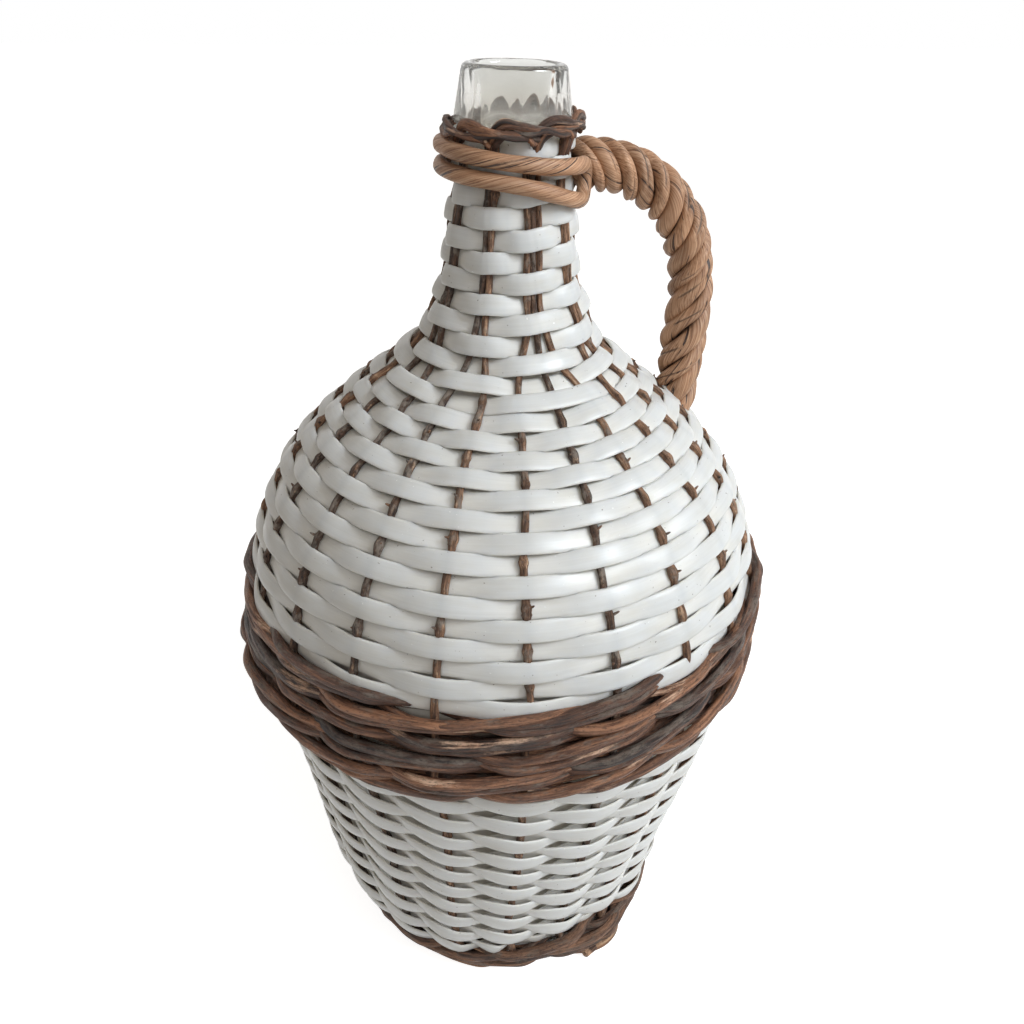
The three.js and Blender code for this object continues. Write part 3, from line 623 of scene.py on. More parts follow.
def makeBottle():
    b = bottle
    outer, _ = wallLine(0.0, b["wallLow"], b["ringLow"] - b["ringGap"], b["wallStep"])
    inner, _ = wallLine(-b["glass"], b["wallLow"], b["ringLow"], b["wallStep"])

    def heel(inwards):  # quarter arc that touches the base plane and the lower wall
        centreZ = b["baseHeight"] + b["heel"]
        centreR = np.interp(centreZ, outer[:, 1], outer[:, 0]) - b["heel"] / math.cos(wall["lean"])
        angle = np.linspace(-math.pi / 2, -wall["lean"], b["heelSteps"])
        radius = b["heel"] - inwards
        return np.stack([centreR + radius * np.cos(angle), centreZ + radius * np.sin(angle)], -1)

    def above(line, arc):  # the part of a wall line that is clear of the heel's arc
        return line[line[:, 1] > arc[-1, 1] + 1]

    heelOut, heelIn = heel(0.0), heel(b["glass"])
    bore = wall["neck"] - b["glass"]
    low, top, lip, innerLip = b["ringLow"], wall["top"], b["lip"], b["innerLip"]
    corner = np.linspace(0, math.pi / 2, b["lipSteps"])
    cos, sin = np.cos(corner), np.sin(corner)
    rimOut = np.stack([b["rimRadius"] - lip + lip * cos, top - lip + lip * sin], -1)
    rimIn = np.stack([bore + b["mouthFlare"] - innerLip * sin, top - innerLip + innerLip * cos], -1)
    dome = np.linspace(0.02, 1, b["domeSteps"])[:, None]
    under = np.hstack([heelOut[0, 0] * dome, b["baseHeight"] + b["pushUp"] * (1 - dome ** 2)])
    over = np.hstack([heelIn[0, 0] * dome, b["baseHeight"] + b["glass"] + b["pushUp"] * (1 - dome ** 2)])
    outline = np.vstack([
        under, heelOut[1:], above(outer, heelOut), np.array([b["finishRadius"], low]) + b["ringFoot"], rimOut,
        rimIn, np.array([bore, top]) + b["throat"], above(inner, heelIn)[::-1], heelIn[::-1], over[::-1]])
    radius, height = outline[:, :1], outline[:, 1:]
    angle = roundTurn(b["sides"])
    half = math.pi / b["flats"]
    flat = np.mod(angle - b["flatTurn"] + half, turn / b["flats"]) - half
    flatRadius = np.cos(half) / np.cos(flat)  # radius of a regular polygon round its own circle
    share = ease(height, low + b["flatFoot"][0], low + b["flatFoot"][1])
    share = b["flatShare"] * share * (1 - ease(height, top + b["flatTop"][0], top + b["flatTop"][1]))
    share = share * (radius > bore + b["flatDepth"])
    radius = radius * (1 + share * (flatRadius * b["flatSwell"] - 1))
    points = around(radius, angle, np.repeat(height, b["sides"], 1))
    place("bottle", [gridMesh("bottle", points, points)], clearGlass, "glass_bottle")


makeBottle()
print("bottle made")


# Stakes: round rods up the wall, thinner upwards, with knots and stubs of side shoots
stub = {
    "count": 5, "length": (1.8, 3.4), "radius": (0.65, 0.35), "outwards": (0.3, 0.9), "rise": (0, 0.8),
    "rings": 6, "sides": 7, "rough": 0.1, "rows": 40, "shift": 1.5, "aboveBand": 8.0,
}


def stakeBend(which, along):
    # A stake bends away from the strips that pass over it: a cosine of the strip's row.
    row = (along - strip["start"]) / strip["pitch"] - which / stake["count"]
    ending = ease(along, gatherFrom + stake["bendTo"][0], gatherFrom + stake["bendTo"][1])
    woven = ease(along, bandTop, bandTop + stake["bendFrom"]) * (1 - ending)
    return stake["bend"] * woven * np.cos(math.pi * (row + which))


def shownSpots(which, draw):
    # Heights along the wall at which a stake shows between two strips, picked at random.
    row = np.arange(0, stub["rows"], 2) - which % 2
    spots = strip["start"] + strip["pitch"] * (row + which / stake["count"])
    spots = spots + draw.uniform(-stub["shift"], stub["shift"], len(row))
    spots = spots[(spots > bandTop + stub["aboveBand"]) & (spots < gatherFrom)]
    return draw.choice(spots, stub["count"], replace=False)


def makeStubs(which, spots, draw):
    meshes = []
    for k, spot in enumerate(spots):
        angle = stakeAngle(which, spot)
        aside = np.array([-math.sin(angle), math.cos(angle), 0]) * draw.choice([-1, 1])
        out, rise = draw.uniform(*stub["outwards"]), draw.uniform(*stub["rise"])
        ahead = unit(wallNormal(spot, angle) * out + aside + np.array([0, 0, rise]))
        reach = np.linspace(0, draw.uniform(*stub["length"]), stub["rings"])[:, None]
        path = onWall(spot, stake["bend"], angle) + ahead * reach
        hint = np.tile(np.cross(ahead, aside) + 0.1, (stub["rings"], 1))  # never quite along the stub
        radius = np.linspace(*stub["radius"], stub["rings"])
        meshes.append(rod("stub", path, hint, radius, 900 + 10 * which + k, stub["sides"], stub["rough"]))
    return meshes


def makeStakes():
    s = stake
    along = np.linspace(0, stakeLength - s["tipDrop"], s["rings"])
    for which in range(s["count"]):
        seed = 100 + which
        draw = np.random.default_rng(seed)
        sway = s["sway"] * wander(along, s["swayLength"], seed)
        sway = sway * (1 - s["steadied"] * ease(along, gatherFrom, gatherTo))
        angle = stakeAngle(np.full(along.shape, which), along) + sway / wallRadius(along)
        path = onWall(along, stakeBend(which, along), angle)
        spots = shownSpots(which, draw)
        others = draw.uniform(s["knotEnds"], stakeLength - s["knotEnds"], s["knots"])
        knots = np.concatenate([spots, others])[:, None]
        widths = draw.uniform(*s["knotWidths"], knots.shape)
        heights = s["knotHeight"] * draw.uniform(*s["knotShares"], knots.shape)
        radius = uneven(stakeRadius(along), s["uneven"], along, s["unevenLength"], seed + 50)
        radius = radius + (heights * bell((along - knots) / widths)).max(0)
        mesh = rod("stake", path, wallNormal(along, angle), radius, seed, s["sides"], s["rough"])
        meshes = [mesh] + makeStubs(which, spots, draw)
        place(f"stake{which + 1:02d}", meshes, stakeBark, f"stake_{which + 1:02d}")


makeStakes()
print("stakes made")


# Flat strips in a spiral: in front of a stake or behind it, with a cosine from one stake to the next
weave = {
    "faceWidth": 7.3, "neckWidth": 7.1, "faceThick": 1.25, "crown": 0.28, "sides": 18, "square": (0.42, 0.7),
    "perGap": 8, "neckPerGap": 6, "drift": 0.22, "driftLength": 9.0, "loose": 0.30, "looseLength": 30.0,
    "seamStake": 5, "gap": 0.05, "shingle": 0.11, "shade": 1.7, "shown": 0.28, "neckShown": 0.15,
    # the edge values set a painted highlight along the strips' edges
    "neckBend": 0.25, "neckTop": 350.6, "neckSpare": 1.0, "behindBand": -8.0, "edge": 0.6, "edgePower": 12,
}
shoulderTurns = int((gatherFrom - strip["start"]) // strip["pitch"])
shoulderPasses = shoulderTurns * stake["count"] + weave["seamStake"]
neckStart = strip["start"] + strip["pitch"] * (shoulderPasses + 1) / stake["count"]
neckLimit = alongAt(weave["neckTop"])
neckPasses = int((neckLimit + weave["neckWidth"] / 2 - weave["neckSpare"] - neckStart)
                 / strip["pitch"] * stake["count"])


def stripSection(width, thick, crown):
    # A flat oval: powers of cosine and sine square its edges, and the outer face swells in the middle.
    angle = (np.arange(weave["sides"]) + 0.5) * turn / weave["sides"]
    c, s = np.cos(angle), np.sin(angle)
    across = width / 2 * np.sign(c) * np.abs(c) ** weave["square"][0]
    out = thick / 2 * np.sign(s) * np.abs(s) ** weave["square"][1]
    out = out + np.where(s > 0, crown * (1 - (2 * across / width) ** 2), 0)
    return np.stack([across, out], -1)


def stripLayers(side, over, section, width):
    # Depth is 1 in front of the stakes and 0 behind them, where the strip gets its painted light. Over is how
    # much painted shade of a stake behind the strip is laid on, and the third layer is above 0 at the strip's
    # edges alone, for a painted highlight there.
    spread = np.ones((1, len(section)))
    edge = weave["edge"] * np.abs(2 * section[:, 0] / width) ** weave["edgePower"]
    return {"depth": ((side + 1) / 2)[:, None] * spread, "over": over[:, None] * spread,
            "edge": np.tile(edge, (len(side), 1))}


def wovenStrip(name, start, first, passes, firstStake, sideOf, perGap, seed, width, bend, shown, limit=1e3):
    # Pass p lies at stake p and height start + pitch * p / stakes. Between two stakes the side goes over by
    # a cosine. What would reach above the limit is cut off, so the last turn tapers.
    p = np.linspace(first, passes, (passes - first) * perGap + 1)
    low = np.minimum(np.floor(p).astype(int), passes - 1)
    t = p - low
    along = start + strip["pitch"] * p / stake["count"]
    here, there = (firstStake + low) % stake["count"], (firstStake + low + 1) % stake["count"]
    fromAngle, toAngle = stakeAngle(here, along), stakeAngle(there, along)
    angle = fromAngle + t * np.mod(toAngle - fromAngle, turn)
    side = cosineStep(sideOf(low, here), sideOf(low + 1, there), t)
    behind = inBand(along, angle, weave["behindBand"])  # the lowest turns run on behind the band
    side = side * (1 - behind) - behind
    need = stakeRadius(along) + weave["gap"] + weave["faceThick"] / 2 - bend
    loose = weave["loose"] * np.clip(wander(p, weave["looseLength"], seed), 0, 1)
    out = side * need + loose * np.clip(side, 0, 1)
    cut = np.maximum(along + width / 2 - limit, 0)
    run = along - cut / 2 + weave["drift"] * wander(p, weave["driftLength"], seed + 1)
    section = stripSection(width, weave["faceThick"], weave["crown"])
    section[:, 1] -= weave["shingle"] * section[:, 0]  # the lower edge stands out a little
    # how near a stake is, for the painted shade of a stake behind the strip
    near = bell(np.abs(t - np.round(t)) * wallRadius(along) * stakeStep / weave["shade"])
    layers = stripLayers(side, shown * near * np.clip(side, 0, 1), section, width)
    section = np.repeat(section[None], len(p), 0)
    section[..., 0] *= (1 - cut / width)[:, None]
    return sweep(name, onWall(run, out, angle), wallNormal(run, angle), section, seed, layers)


def makeShoulder():
    def sideOf(p, which):  # over one stake and under the next
        return np.where(p % 2 == 1, 1.0, -1.0)

    mesh = wovenStrip("shoulderStrip", strip["start"], -strip["lead"], shoulderPasses, 0, sideOf,
                      weave["perGap"], 5, weave["faceWidth"], stake["bend"], weave["shown"])
    place("shoulderStrip", [mesh], milkyStrip, "shoulder_strip")


def makeNeck():
    first = weave["seamStake"] + 1

    def sideOf(p, which):  # by whole bundles, and the other way on the next turn
        turns = (first + p + stake["count"] - stake["firstBundled"]) // stake["count"]
        return np.where((turns * stake["bundles"] + bundleOf[which]) % 2 == 0, 1.0, -1.0)

    mesh = wovenStrip("neckStrip", neckStart, 0, neckPasses, first, sideOf, weave["neckPerGap"], 6,
                      weave["neckWidth"], weave["neckBend"], weave["neckShown"], neckLimit)
    place("neckStrip", [mesh], milkyStrip, "neck_strip")


makeShoulder()
makeNeck()
print("shoulder and neck woven")


# Basket: two strips twisted round each other, one in front of each stake and one behind
basket = {
    "width": 8.8, "crossWidth": 5.8, "thick": 1.25, "pitch": 13.4, "start": 24.9, "first": -28.0,
    "end": 150.3, "perGap": 14, "square": 0.82, "crown": 0.16, "rise": 3.6, "drop": 1.3, "early": 0.1,
    "drift": 0.25, "driftLength": 7.0, "tuckLift": 4.0, "tuck": (-1.5, 3.5),
}
foot = {
    "rodRadius": 2.4, "count": 5, "step": 5.0, "close": 0.34, "openTurn": math.radians(-80),
    "openWidth": 0.85, "sides": 14, "samples": 20, "lowest": 2.02, "floor": 1.4, "floorStep": 1.6,
    "press": 0.3, "wander": 0.7, "climb": 1.6, "rough": 0.12, "butt": 2.6, "tip": 2.15,
    "thinner": (0.6, 0.35), "inset": 0.5,
    "uneven": 0.08, "unevenLength": 1.8, "peels": 4, "doubledFrom": 2,
    "above": (4, 9), "aboveDip": 0.7, "aboveInset": 1.7,
    "pulls": ((0, 2, 5.5, -93, 0.2), (0, 4, -2.4, -73, 0.16)),  # first rod, end, how far, degrees, width
    "ends": ((1, -92, 4.5, 6, 0.10), (1, -76, 4.0, 7, 0.05), (2, -66, 7.0, 6, -0.1), (2, 40, 8.0, 8, 0.0),
             (3, 150, 8.5, 8, 0.1), (1, 100, 3.5, 8, 0.0)),  # rod, degrees, height, length, rise
    "endRadius": 2.3, "endOut": 3.4, "endFlare": 0.16, "endRings": 24, "endSides": 12, "endRough": 0.16,
    "endTilt": 0.3, "endPeel": (0.35, 0.75),
}
pairPasses = (basket["end"] - basket["start"]) / basket["pitch"] * stake["count"]


def footOpen(angle):  # 1 where the foot's rods are spread most, 0 away from there
    return bell(turnFrom(angle, foot["openTurn"]) / foot["openWidth"])


def footLevel(k, angle):
    # Heights of the foot's rods along the wall: spread in front, pressed close together elsewhere.
    step = foot["step"] * (foot["close"] + (1 - foot["close"]) * footOpen(angle))
    return (foot["lowest"] + k * step - stake["start"]) / math.cos(wall["lean"])


def makeBasket():
    # Out is a squared cosine of the pass, the lift along the wall its sine: a strip comes out high, on top,
    # and goes in low.
    b = basket
    for strand, letter in enumerate("ab"):
        p = np.linspace(b["first"], pairPasses, int((pairPasses - b["first"]) * b["perGap"]))
        wave = np.cos(math.pi * (p + strand + b["early"]))
        side = np.sign(wave) * np.abs(wave) ** b["square"]
        lift = -np.sin(math.pi * (p + strand))
        along = b["start"] + b["pitch"] * p / stake["count"] + np.where(lift > 0, b["rise"], b["drop"]) * lift
        along = along + b["drift"] * wander(p, b["driftLength"], 31 + strand)
        angle = p * stakeStep
        aboveFoot = along - footLevel(foot["count"] - 1, angle) - b["tuckLift"] * footOpen(angle)
        behind = np.maximum(inBand(along, angle, weave["behindBand"]), 1 - ease(aboveFoot, *b["tuck"]))
        side = side * (1 - behind) - behind
        need = stakeRadius(along) + weave["gap"] + b["thick"] / 2
        flat = stripSection(b["width"], b["thick"], b["crown"])
        narrow = b["crossWidth"] / b["width"]  # the strips narrow as they turn past each other
        section = np.repeat(flat[None], len(p), 0)
        section[..., 0] *= (narrow + (1 - narrow) * np.abs(side))[:, None]
        mesh = sweep("basketStrip", onWall(along, side * need, angle), wallNormal(along, angle), section,
                     40 + strand, stripLayers(side, 0 * side, flat, b["width"]))
        place("basketStrip" + letter.upper(), [mesh], milkyStrip, "basket_strip_" + letter)


makeBasket()
print("basket woven")


# Waled rods of the band and the foot: outside two stakes and inside the third
waling = {"every": 3, "endGap": 0.1, "levelLength": 5.0, "outLength": 6.0}
lining = {
    "gap": 0.02, "steps": 240, "sides": 10, "rough": 0.1, "wander": 0.4, "wanderLength": 0.8,
    "uneven": 0.08, "unevenLength": 0.3,
}
peeling = {"lengths": (5, 20), "facing": (0.2, 1.9)}


def waledPath(levelAt, look, k, seed, free):
    # The side goes over by a cosine, and the level is a sine over three stakes: a rod comes out low and goes
    # in high. Free is 0 for a rod that stays level, and 1 for one that climbs and wanders.
    every, gap = waling["every"], waling["endGap"]
    first = (every - k % every) % every
    p = np.linspace(first + gap, first + stake["count"] - gap, look["samples"] * stake["count"])
    angle = p * stakeStep
    low = np.floor(p).astype(int)
    here, there = (np.where((at + k) % every == 0, -1.0, 1.0) for at in (low, low + 1))
    side = cosineStep(here, there, p - low)
    shake = look["wander"] * free
    level = levelAt(angle) - 0.5 * look["climb"] * free * np.sin(turn * (p + k) / every)
    level = level + shake * wander(p, waling["levelLength"], seed)
    out = side * (stakeRadius(level) + look["rodRadius"] - look["press"])
    return level, out + 0.5 * shake * wander(p, waling["outLength"], seed + 1) * (side > 0), angle


def peeledRuns(reach, count, sides, seed):
    # Short runs of bare wood on the upper and outer side of a rod, 1 in their middle.
    draw = np.random.default_rng(seed)
    middles = draw.uniform(0, reach[-1], (count, 1, 1))
    lengths = draw.uniform(*peeling["lengths"], (count, 1, 1))
    facing = draw.uniform(*peeling["facing"], (count, 1, 1))
    shown = np.clip(np.cos(roundTurn(sides) - facing), 0, 1)
    return (bell((reach[:, None] - middles) / lengths) * shown ** 2).max(0)


def waledRod(name, path, angle, part, look, seed, free, widest=math.inf):
    # Thinner from butt to tip, and thinner for the second rod of a piece.
    butt, tip = (look[end] - less * part for end, less in zip(("butt", "tip"), look["thinner"]))
    passes = angle / stakeStep
    radius = uneven(np.linspace(butt, tip, len(path)), look["uneven"], passes, look["unevenLength"], seed + 5)
    peel = peeledRuns(lengthAlong(path), look["peels"], look["sides"], seed + 9)
    return rod(name, path, outwards(angle), np.minimum(radius, widest), seed, look["sides"],
               look["rough"] * free, peel=peel)


def liner(levelAt, radius, seed, inset=0.0):
    # A rod that runs round inside all the stakes.
    angle = np.linspace(lining["gap"], turn - lining["gap"], lining["steps"])
    level = levelAt(angle) + lining["wander"] * wander(angle, lining["wanderLength"], seed)
    path = onWall(level, -stakeRadius(level) - radius - inset, angle)
    thick = uneven(radius, lining["uneven"], angle, lining["unevenLength"], seed + 1)
    return rod("liner", path, outwards(angle), thick, seed, lining["sides"], lining["rough"])


def makeBand():
    # Each piece is a thick rod, a thinner one laid in beside it, which passes inside other stakes, and in the
    # lower pieces one inside them all.
    last = band["count"] - 1
    for k in range(band["count"]):
        rise = (k - last / 2) * band["step"]
        meshes = []
        if k < band["liners"]:
            meshes.append(liner(lambda at: bandCentre(at) + rise, band["liner"], 280 + k))
        for part in range(2):
            seed = 200 + 10 * k + part
            shift = rise + part * band["step"] * 0.5 * (1 if k < last else -1)
            along, out, angle = waledPath(lambda at: bandCentre(at) + shift, band, k + part, seed, 1.0)
            path = onWall(along - band["sagDrop"] * (1 - k / last), out - band["inset"] * part, angle)
            meshes.append(waledRod("bandRod", path, angle, part, band, seed, 1.0))
        place(f"bandRod{k + 1}", meshes, bandBark, f"band_rod_{k + 1}")


def footPull(k, angle):  # how far a foot rod is drawn in under the weave
    pulls = [0 * angle] + [far * bell(turnFrom(angle, math.radians(degrees)) / width)
                           for first, end, far, degrees, width in foot["pulls"] if first <= k < end]
    return np.sum(pulls, 0)


def footEnds(k):
    # The cut ends of a foot rod stand off it, bare at the tip.
    meshes = []
    for number, (owner, degrees, height, length, rise) in enumerate(foot["ends"]):
        if owner != k:
            continue
        angle = math.radians(degrees)
        cos, sin = math.cos(angle), math.sin(angle)
        ahead = unit(np.array([sin, -cos, rise]) + foot["endFlare"] * np.array([cos, sin, 0]))
        reach = np.linspace(0, length, foot["endRings"])[:, None]
        path = onWall(height, foot["endOut"] - footPull(k, angle), angle) + ahead * reach
        hint = np.tile([cos, sin, foot["endTilt"]], (foot["endRings"], 1))
        bareFrom, bareTo = foot["endPeel"]
        meshes.append(rod("footEnd", path, hint, foot["endRadius"], 340 + number, foot["endSides"],
                          foot["endRough"], peel=ease(reach, bareFrom * length, bareTo * length)))
    return meshes


def makeFoot():
    # The lowest rod is peeled and lies level. From the third on, a thinner rod is laid in below, which passes
    # inside other stakes, and one inside them all.
    for k in range(foot["count"]):
        lowest, doubled = k == 0, k >= foot["doubledFrom"]
        free = 0.0 if lowest else 1.0
        meshes = [liner(lambda at: footLevel(k, at), foot["rodRadius"], 380 + k)] if doubled else []
        for part in range(2 if doubled else 1):
            seed = 300 + 10 * k + part
            level = k - 0.5 * part
            along, out, angle = waledPath(lambda at: footLevel(level, at), foot, k + part, seed, free)
            along = np.maximum(along, foot["floor"] + foot["floorStep"] * k)
            path = onWall(along, out - footPull(k, angle) - foot["inset"] * part, angle)
            path[:, 2] = onWall(along, 0.0, angle)[:, 2]
            widest = foot["lowest"] if lowest else math.inf
            meshes.append(waledRod("footRod", path, angle, part, foot, seed, free, widest))
        meshes += footEnds(k)
        if k == foot["count"] - 1:  # and more above the foot, behind the strips
            meshes += [liner(lambda at: footLevel(k, at) + rise * (1 - foot["aboveDip"] * footOpen(at)),
                             foot["rodRadius"], 390 + k + rise, foot["aboveInset"]) for rise in foot["above"]]
        place(f"footRod{k + 1}", meshes, peeledWillow if lowest else footBark, f"foot_rod_{k + 1}")


makeBand()
makeFoot()
print("band and foot made")


# Collar: the tips of each bundle bend over to the side, in front of the next and in behind the one after
collar = {
    "thick": 0.98, "thin": 0.85, "tips": 4, "apart": 0.045, "hump": 354.7, "humpDrop": 1.15, "low": 350.6,
    "lowDrop": 0.35, "lean": 1.6, "leanTurn": math.radians(-40), "sides": 10, "rings": 90, "rough": 0.1,
    "turns": (-0.02, 0.04, 0.34, 0.72, 1.05, 1.42, 1.78, 1.95),  # bundles passed
    "reaches": (18.9, 20.3, 21.2, 22.3, 23.0, 22.6, 21.9, 22.3), "outer": 0.35,
    "endDrop": (0.5, 2.6), "riseStray": 0.3, "reachStray": 0.2, "peeledShare": 0.3,
}


def makeCollar():
    c = collar
    step = turn / stake["bundles"]
    turns = np.array(c["turns"]) * step
    groups = [[] for _ in range(3)]
    for bundle in range(stake["bundles"]):
        for tip in range(c["tips"]):
            seed = 400 + 10 * bundle + tip
            draw = np.random.default_rng(seed)
            middle = (c["tips"] - 1) / 2
            angle = stake["firstBundleAngle"] + bundle * step + (tip - middle) * c["apart"] + turns
            top, low = c["hump"] - c["humpDrop"] * tip, c["low"] - c["lowDrop"] * tip
            end = low - draw.uniform(*c["endDrop"])
            rise = np.array([low - 8, low - 1.5, top, top - 0.5, low + 2.0, low + 0.7, low + 0.1, end])
            rise = rise + draw.normal(0, c["riseStray"], len(rise))
            rise = rise + c["lean"] * np.cos(angle - c["leanTurn"])
            reach = np.array(c["reaches"]) + draw.normal(0, c["reachStray"], len(rise))
            reach = reach + c["outer"] * (tip % 2)
            path = smoothPath(around(reach, angle, rise), c["rings"])
            radius = np.linspace(c["thick"], c["thin"], c["rings"])
            peel = peeledRuns(lengthAlong(path), 1, c["sides"], seed + 9)
            peel = peel * (draw.uniform() < c["peeledShare"])
            groups[bundle % 3].append(rod("collarTip", path, fromAxis(path), radius, seed, c["sides"],
                                          c["rough"], peel=peel))
    for k, meshes in enumerate(groups):
        place(f"collarRods{k + 1}", meshes, bandBark, f"collar_rod_{k + 1}")


makeCollar()
print("collar made")


# Base: sticks like spokes, and a rod woven over and under them in a flat spiral
base = {
    "sticks": 9, "stickRadius": 2.0, "hub": 7.0, "stickRings": 40, "weaveStart": 20.0, "weaveSteps": 12,
    "rimGap": -1.5, "rodRadius": 1.6, "pitch": 3.7, "height": 12.0, "sides": 12, "rough": 0.05,
    "uneven": 0.05, "unevenLength": 20.0,
}


def makeBase():
    b = base
    level = b["height"] - 2 * wall["clearance"] - 2 * b["rodRadius"] - b["stickRadius"]
    reach = wallRadius(0.0) - stake["footRadius"] - wall["clearance"] - 2 * foot["rodRadius"] - b["rimGap"]
    step = turn / b["sticks"]
    r = np.linspace(b["hub"], reach, b["stickRings"])
    up = np.array([[0.0, 0, 1]])
    for k in range(b["sticks"]):
        path = around(r, k * step, 0 * r + level) + slid(level)
        radius = uneven(b["stickRadius"], b["uneven"], r, b["unevenLength"], 500 + k)
        mesh = rod("baseStick", path, up, radius, 500 + k, b["sides"], b["rough"])
        place(f"baseStick{k + 1}", [mesh], peeledWillow, f"base_stick_{k + 1}")
    passes = int((reach - b["weaveStart"] - b["rodRadius"]) // b["pitch"]) * b["sticks"]
    p = np.linspace(0, passes, passes * b["weaveSteps"] + 1)
    need = b["stickRadius"] + wall["clearance"] + b["rodRadius"]
    out = b["weaveStart"] + b["pitch"] * p / b["sticks"]
    path = around(out, p * step, level + need * np.cos(math.pi * p)) + slid(level)
    mesh = rod("baseWeave", path, up, b["rodRadius"], 520, b["sides"], b["rough"])
    place("baseWeave", [mesh], stakeBark, "base_weave")


makeBase()
print("base made")


# Neck binding: a doubled strand round the neck, turned back in a hairpin on the handle's near side.
# It is high on the far side from the handle and low by the hairpin, where the two turns part.
binding = {
    "radius": 2.6, "reach": 23.9, "hairpin": math.radians(-32), "hairpinSize": 5.0, "tail": math.radians(20),
    "upper": 343.4, "upperTilt": 2.4, "upperTurn": math.radians(-10),
    "lower": 338.1, "lowerTilt": 1.0, "lowerTurn": math.radians(-20), "dip": 7.0, "dipWidth": 0.85,
    "inward": ((34.0, 2.5, 340.0), (27.5, 6.5, 341.2)),  # both ends run into the rope
    "outward": ((27.5, 6.0, 336.0), (34.0, 2.0, 336.8)),
    "turnSteps": 60, "hookSteps": 9, "curveSteps": 660, "steps": 440, "sides": 18, "rough": 0.05,
    "uneven": 0.05, "unevenLength": 25.0, "twist": 34.0, "seed": 600,
}


def makeBinding():
    b = binding
    start = turn + b["hairpin"]
    forth = np.linspace(b["tail"], start, b["turnSteps"])
    back = forth[::-1]
    dip = b["dip"] * bell(turnFrom(back, b["hairpin"]) / b["dipWidth"])
    high = around(b["reach"], forth, b["upper"] - b["upperTilt"] * np.cos(forth - b["upperTurn"]))
    low = around(b["reach"], back, b["lower"] - b["lowerTilt"] * np.cos(back - b["lowerTurn"]) - dip)
    middle = (high[-1] + low[0]) / 2
    ahead = np.array([-math.sin(start), math.cos(start), 0]) * b["hairpinSize"]
    bend = np.linspace(0, math.pi, b["hookSteps"])[1:-1, None]
    hook = middle + np.cos(bend) * (high[-1] - middle) + np.sin(bend) * ahead
    path = smoothPath(np.vstack([b["inward"], high, hook, low, b["outward"]]), b["curveSteps"])
    reach = lengthAlong(path)
    even = np.linspace(0, reach[-1], b["steps"])
    path = np.stack([np.interp(even, reach, path[:, k]) for k in range(3)], -1)
    radius = uneven(b["radius"], b["uneven"], even, b["unevenLength"], b["seed"])
    mesh = rod("neckBinding", path, fromAxis(path), radius, b["seed"], b["sides"], b["rough"],
               even * turn / b["twist"])
    place("neckBinding", [mesh], twistedFibre, "neck_binding")


makeBinding()
print("binding made")


# Handle: four strands twisted round a core, along a lead from the neck, a slightly squared quarter ellipse
# and a straight run down to the shoulder
handle = {
    "lead": 20.5, "start": 26.5, "square": 0.92, "reach": 73.5, "top": 338.6, "drop": 53.5, "footReach": 71.5,
    "footHeight": 221.5, "endHeight": 243.5, "bowSteps": 400, "fallSteps": 200,
    "core": 2.4, "coreSides": 12, "coreRough": 0.05,
    "strands": 4, "strandRadius": 3.35, "orbit": 5.6, "layAtNeck": 24.6, "layAtFoot": 46.0, "gap": 0.05,
    "sides": 56, "steps": 460, "shares": (0.84, 1.14, 0.92, 1.10), "stray": 0.2, "strayLength": 34.0,
    "lift": 0.25, "liftLength": 30.0, "uneven": 0.1, "unevenLength": 24.0,
    "ridges": 5, "ridgeHeight": 0.035, "ridgeLength": 45.0,
    "crease": 0.15, "creaseWidth": 0.26, "creaseStray": 0.85, "creaseLength": 40.0, "creaseShade": 0.66,
    "parted": (-0.3, 0.4), "partedLength": 20.0,
}


def handleAxis(count):
    h = handle
    bend = np.linspace(math.pi / 2 - 1e-6, 0, h["bowSteps"])
    bow = np.stack([h["start"] + (h["reach"] - h["start"]) * np.cos(bend) ** h["square"],
                    h["top"] - h["drop"] + h["drop"] * np.sin(bend) ** h["square"]], -1)
    fall = np.linspace(0, 1, h["fallSteps"])[1:, None]
    line = bow[-1] * (1 - fall) + np.array([h["footReach"], h["footHeight"]]) * fall
    track = np.vstack([[[h["lead"], h["top"]]], bow, line])
    reach = lengthAlong(track)
    even = np.linspace(0, np.interp(-h["endHeight"], -track[:, 1], reach), count)
    x, z = np.interp(even, reach, track[:, 0]), np.interp(even, reach, track[:, 1])
    return np.stack([x, 0 * x, z], -1), even


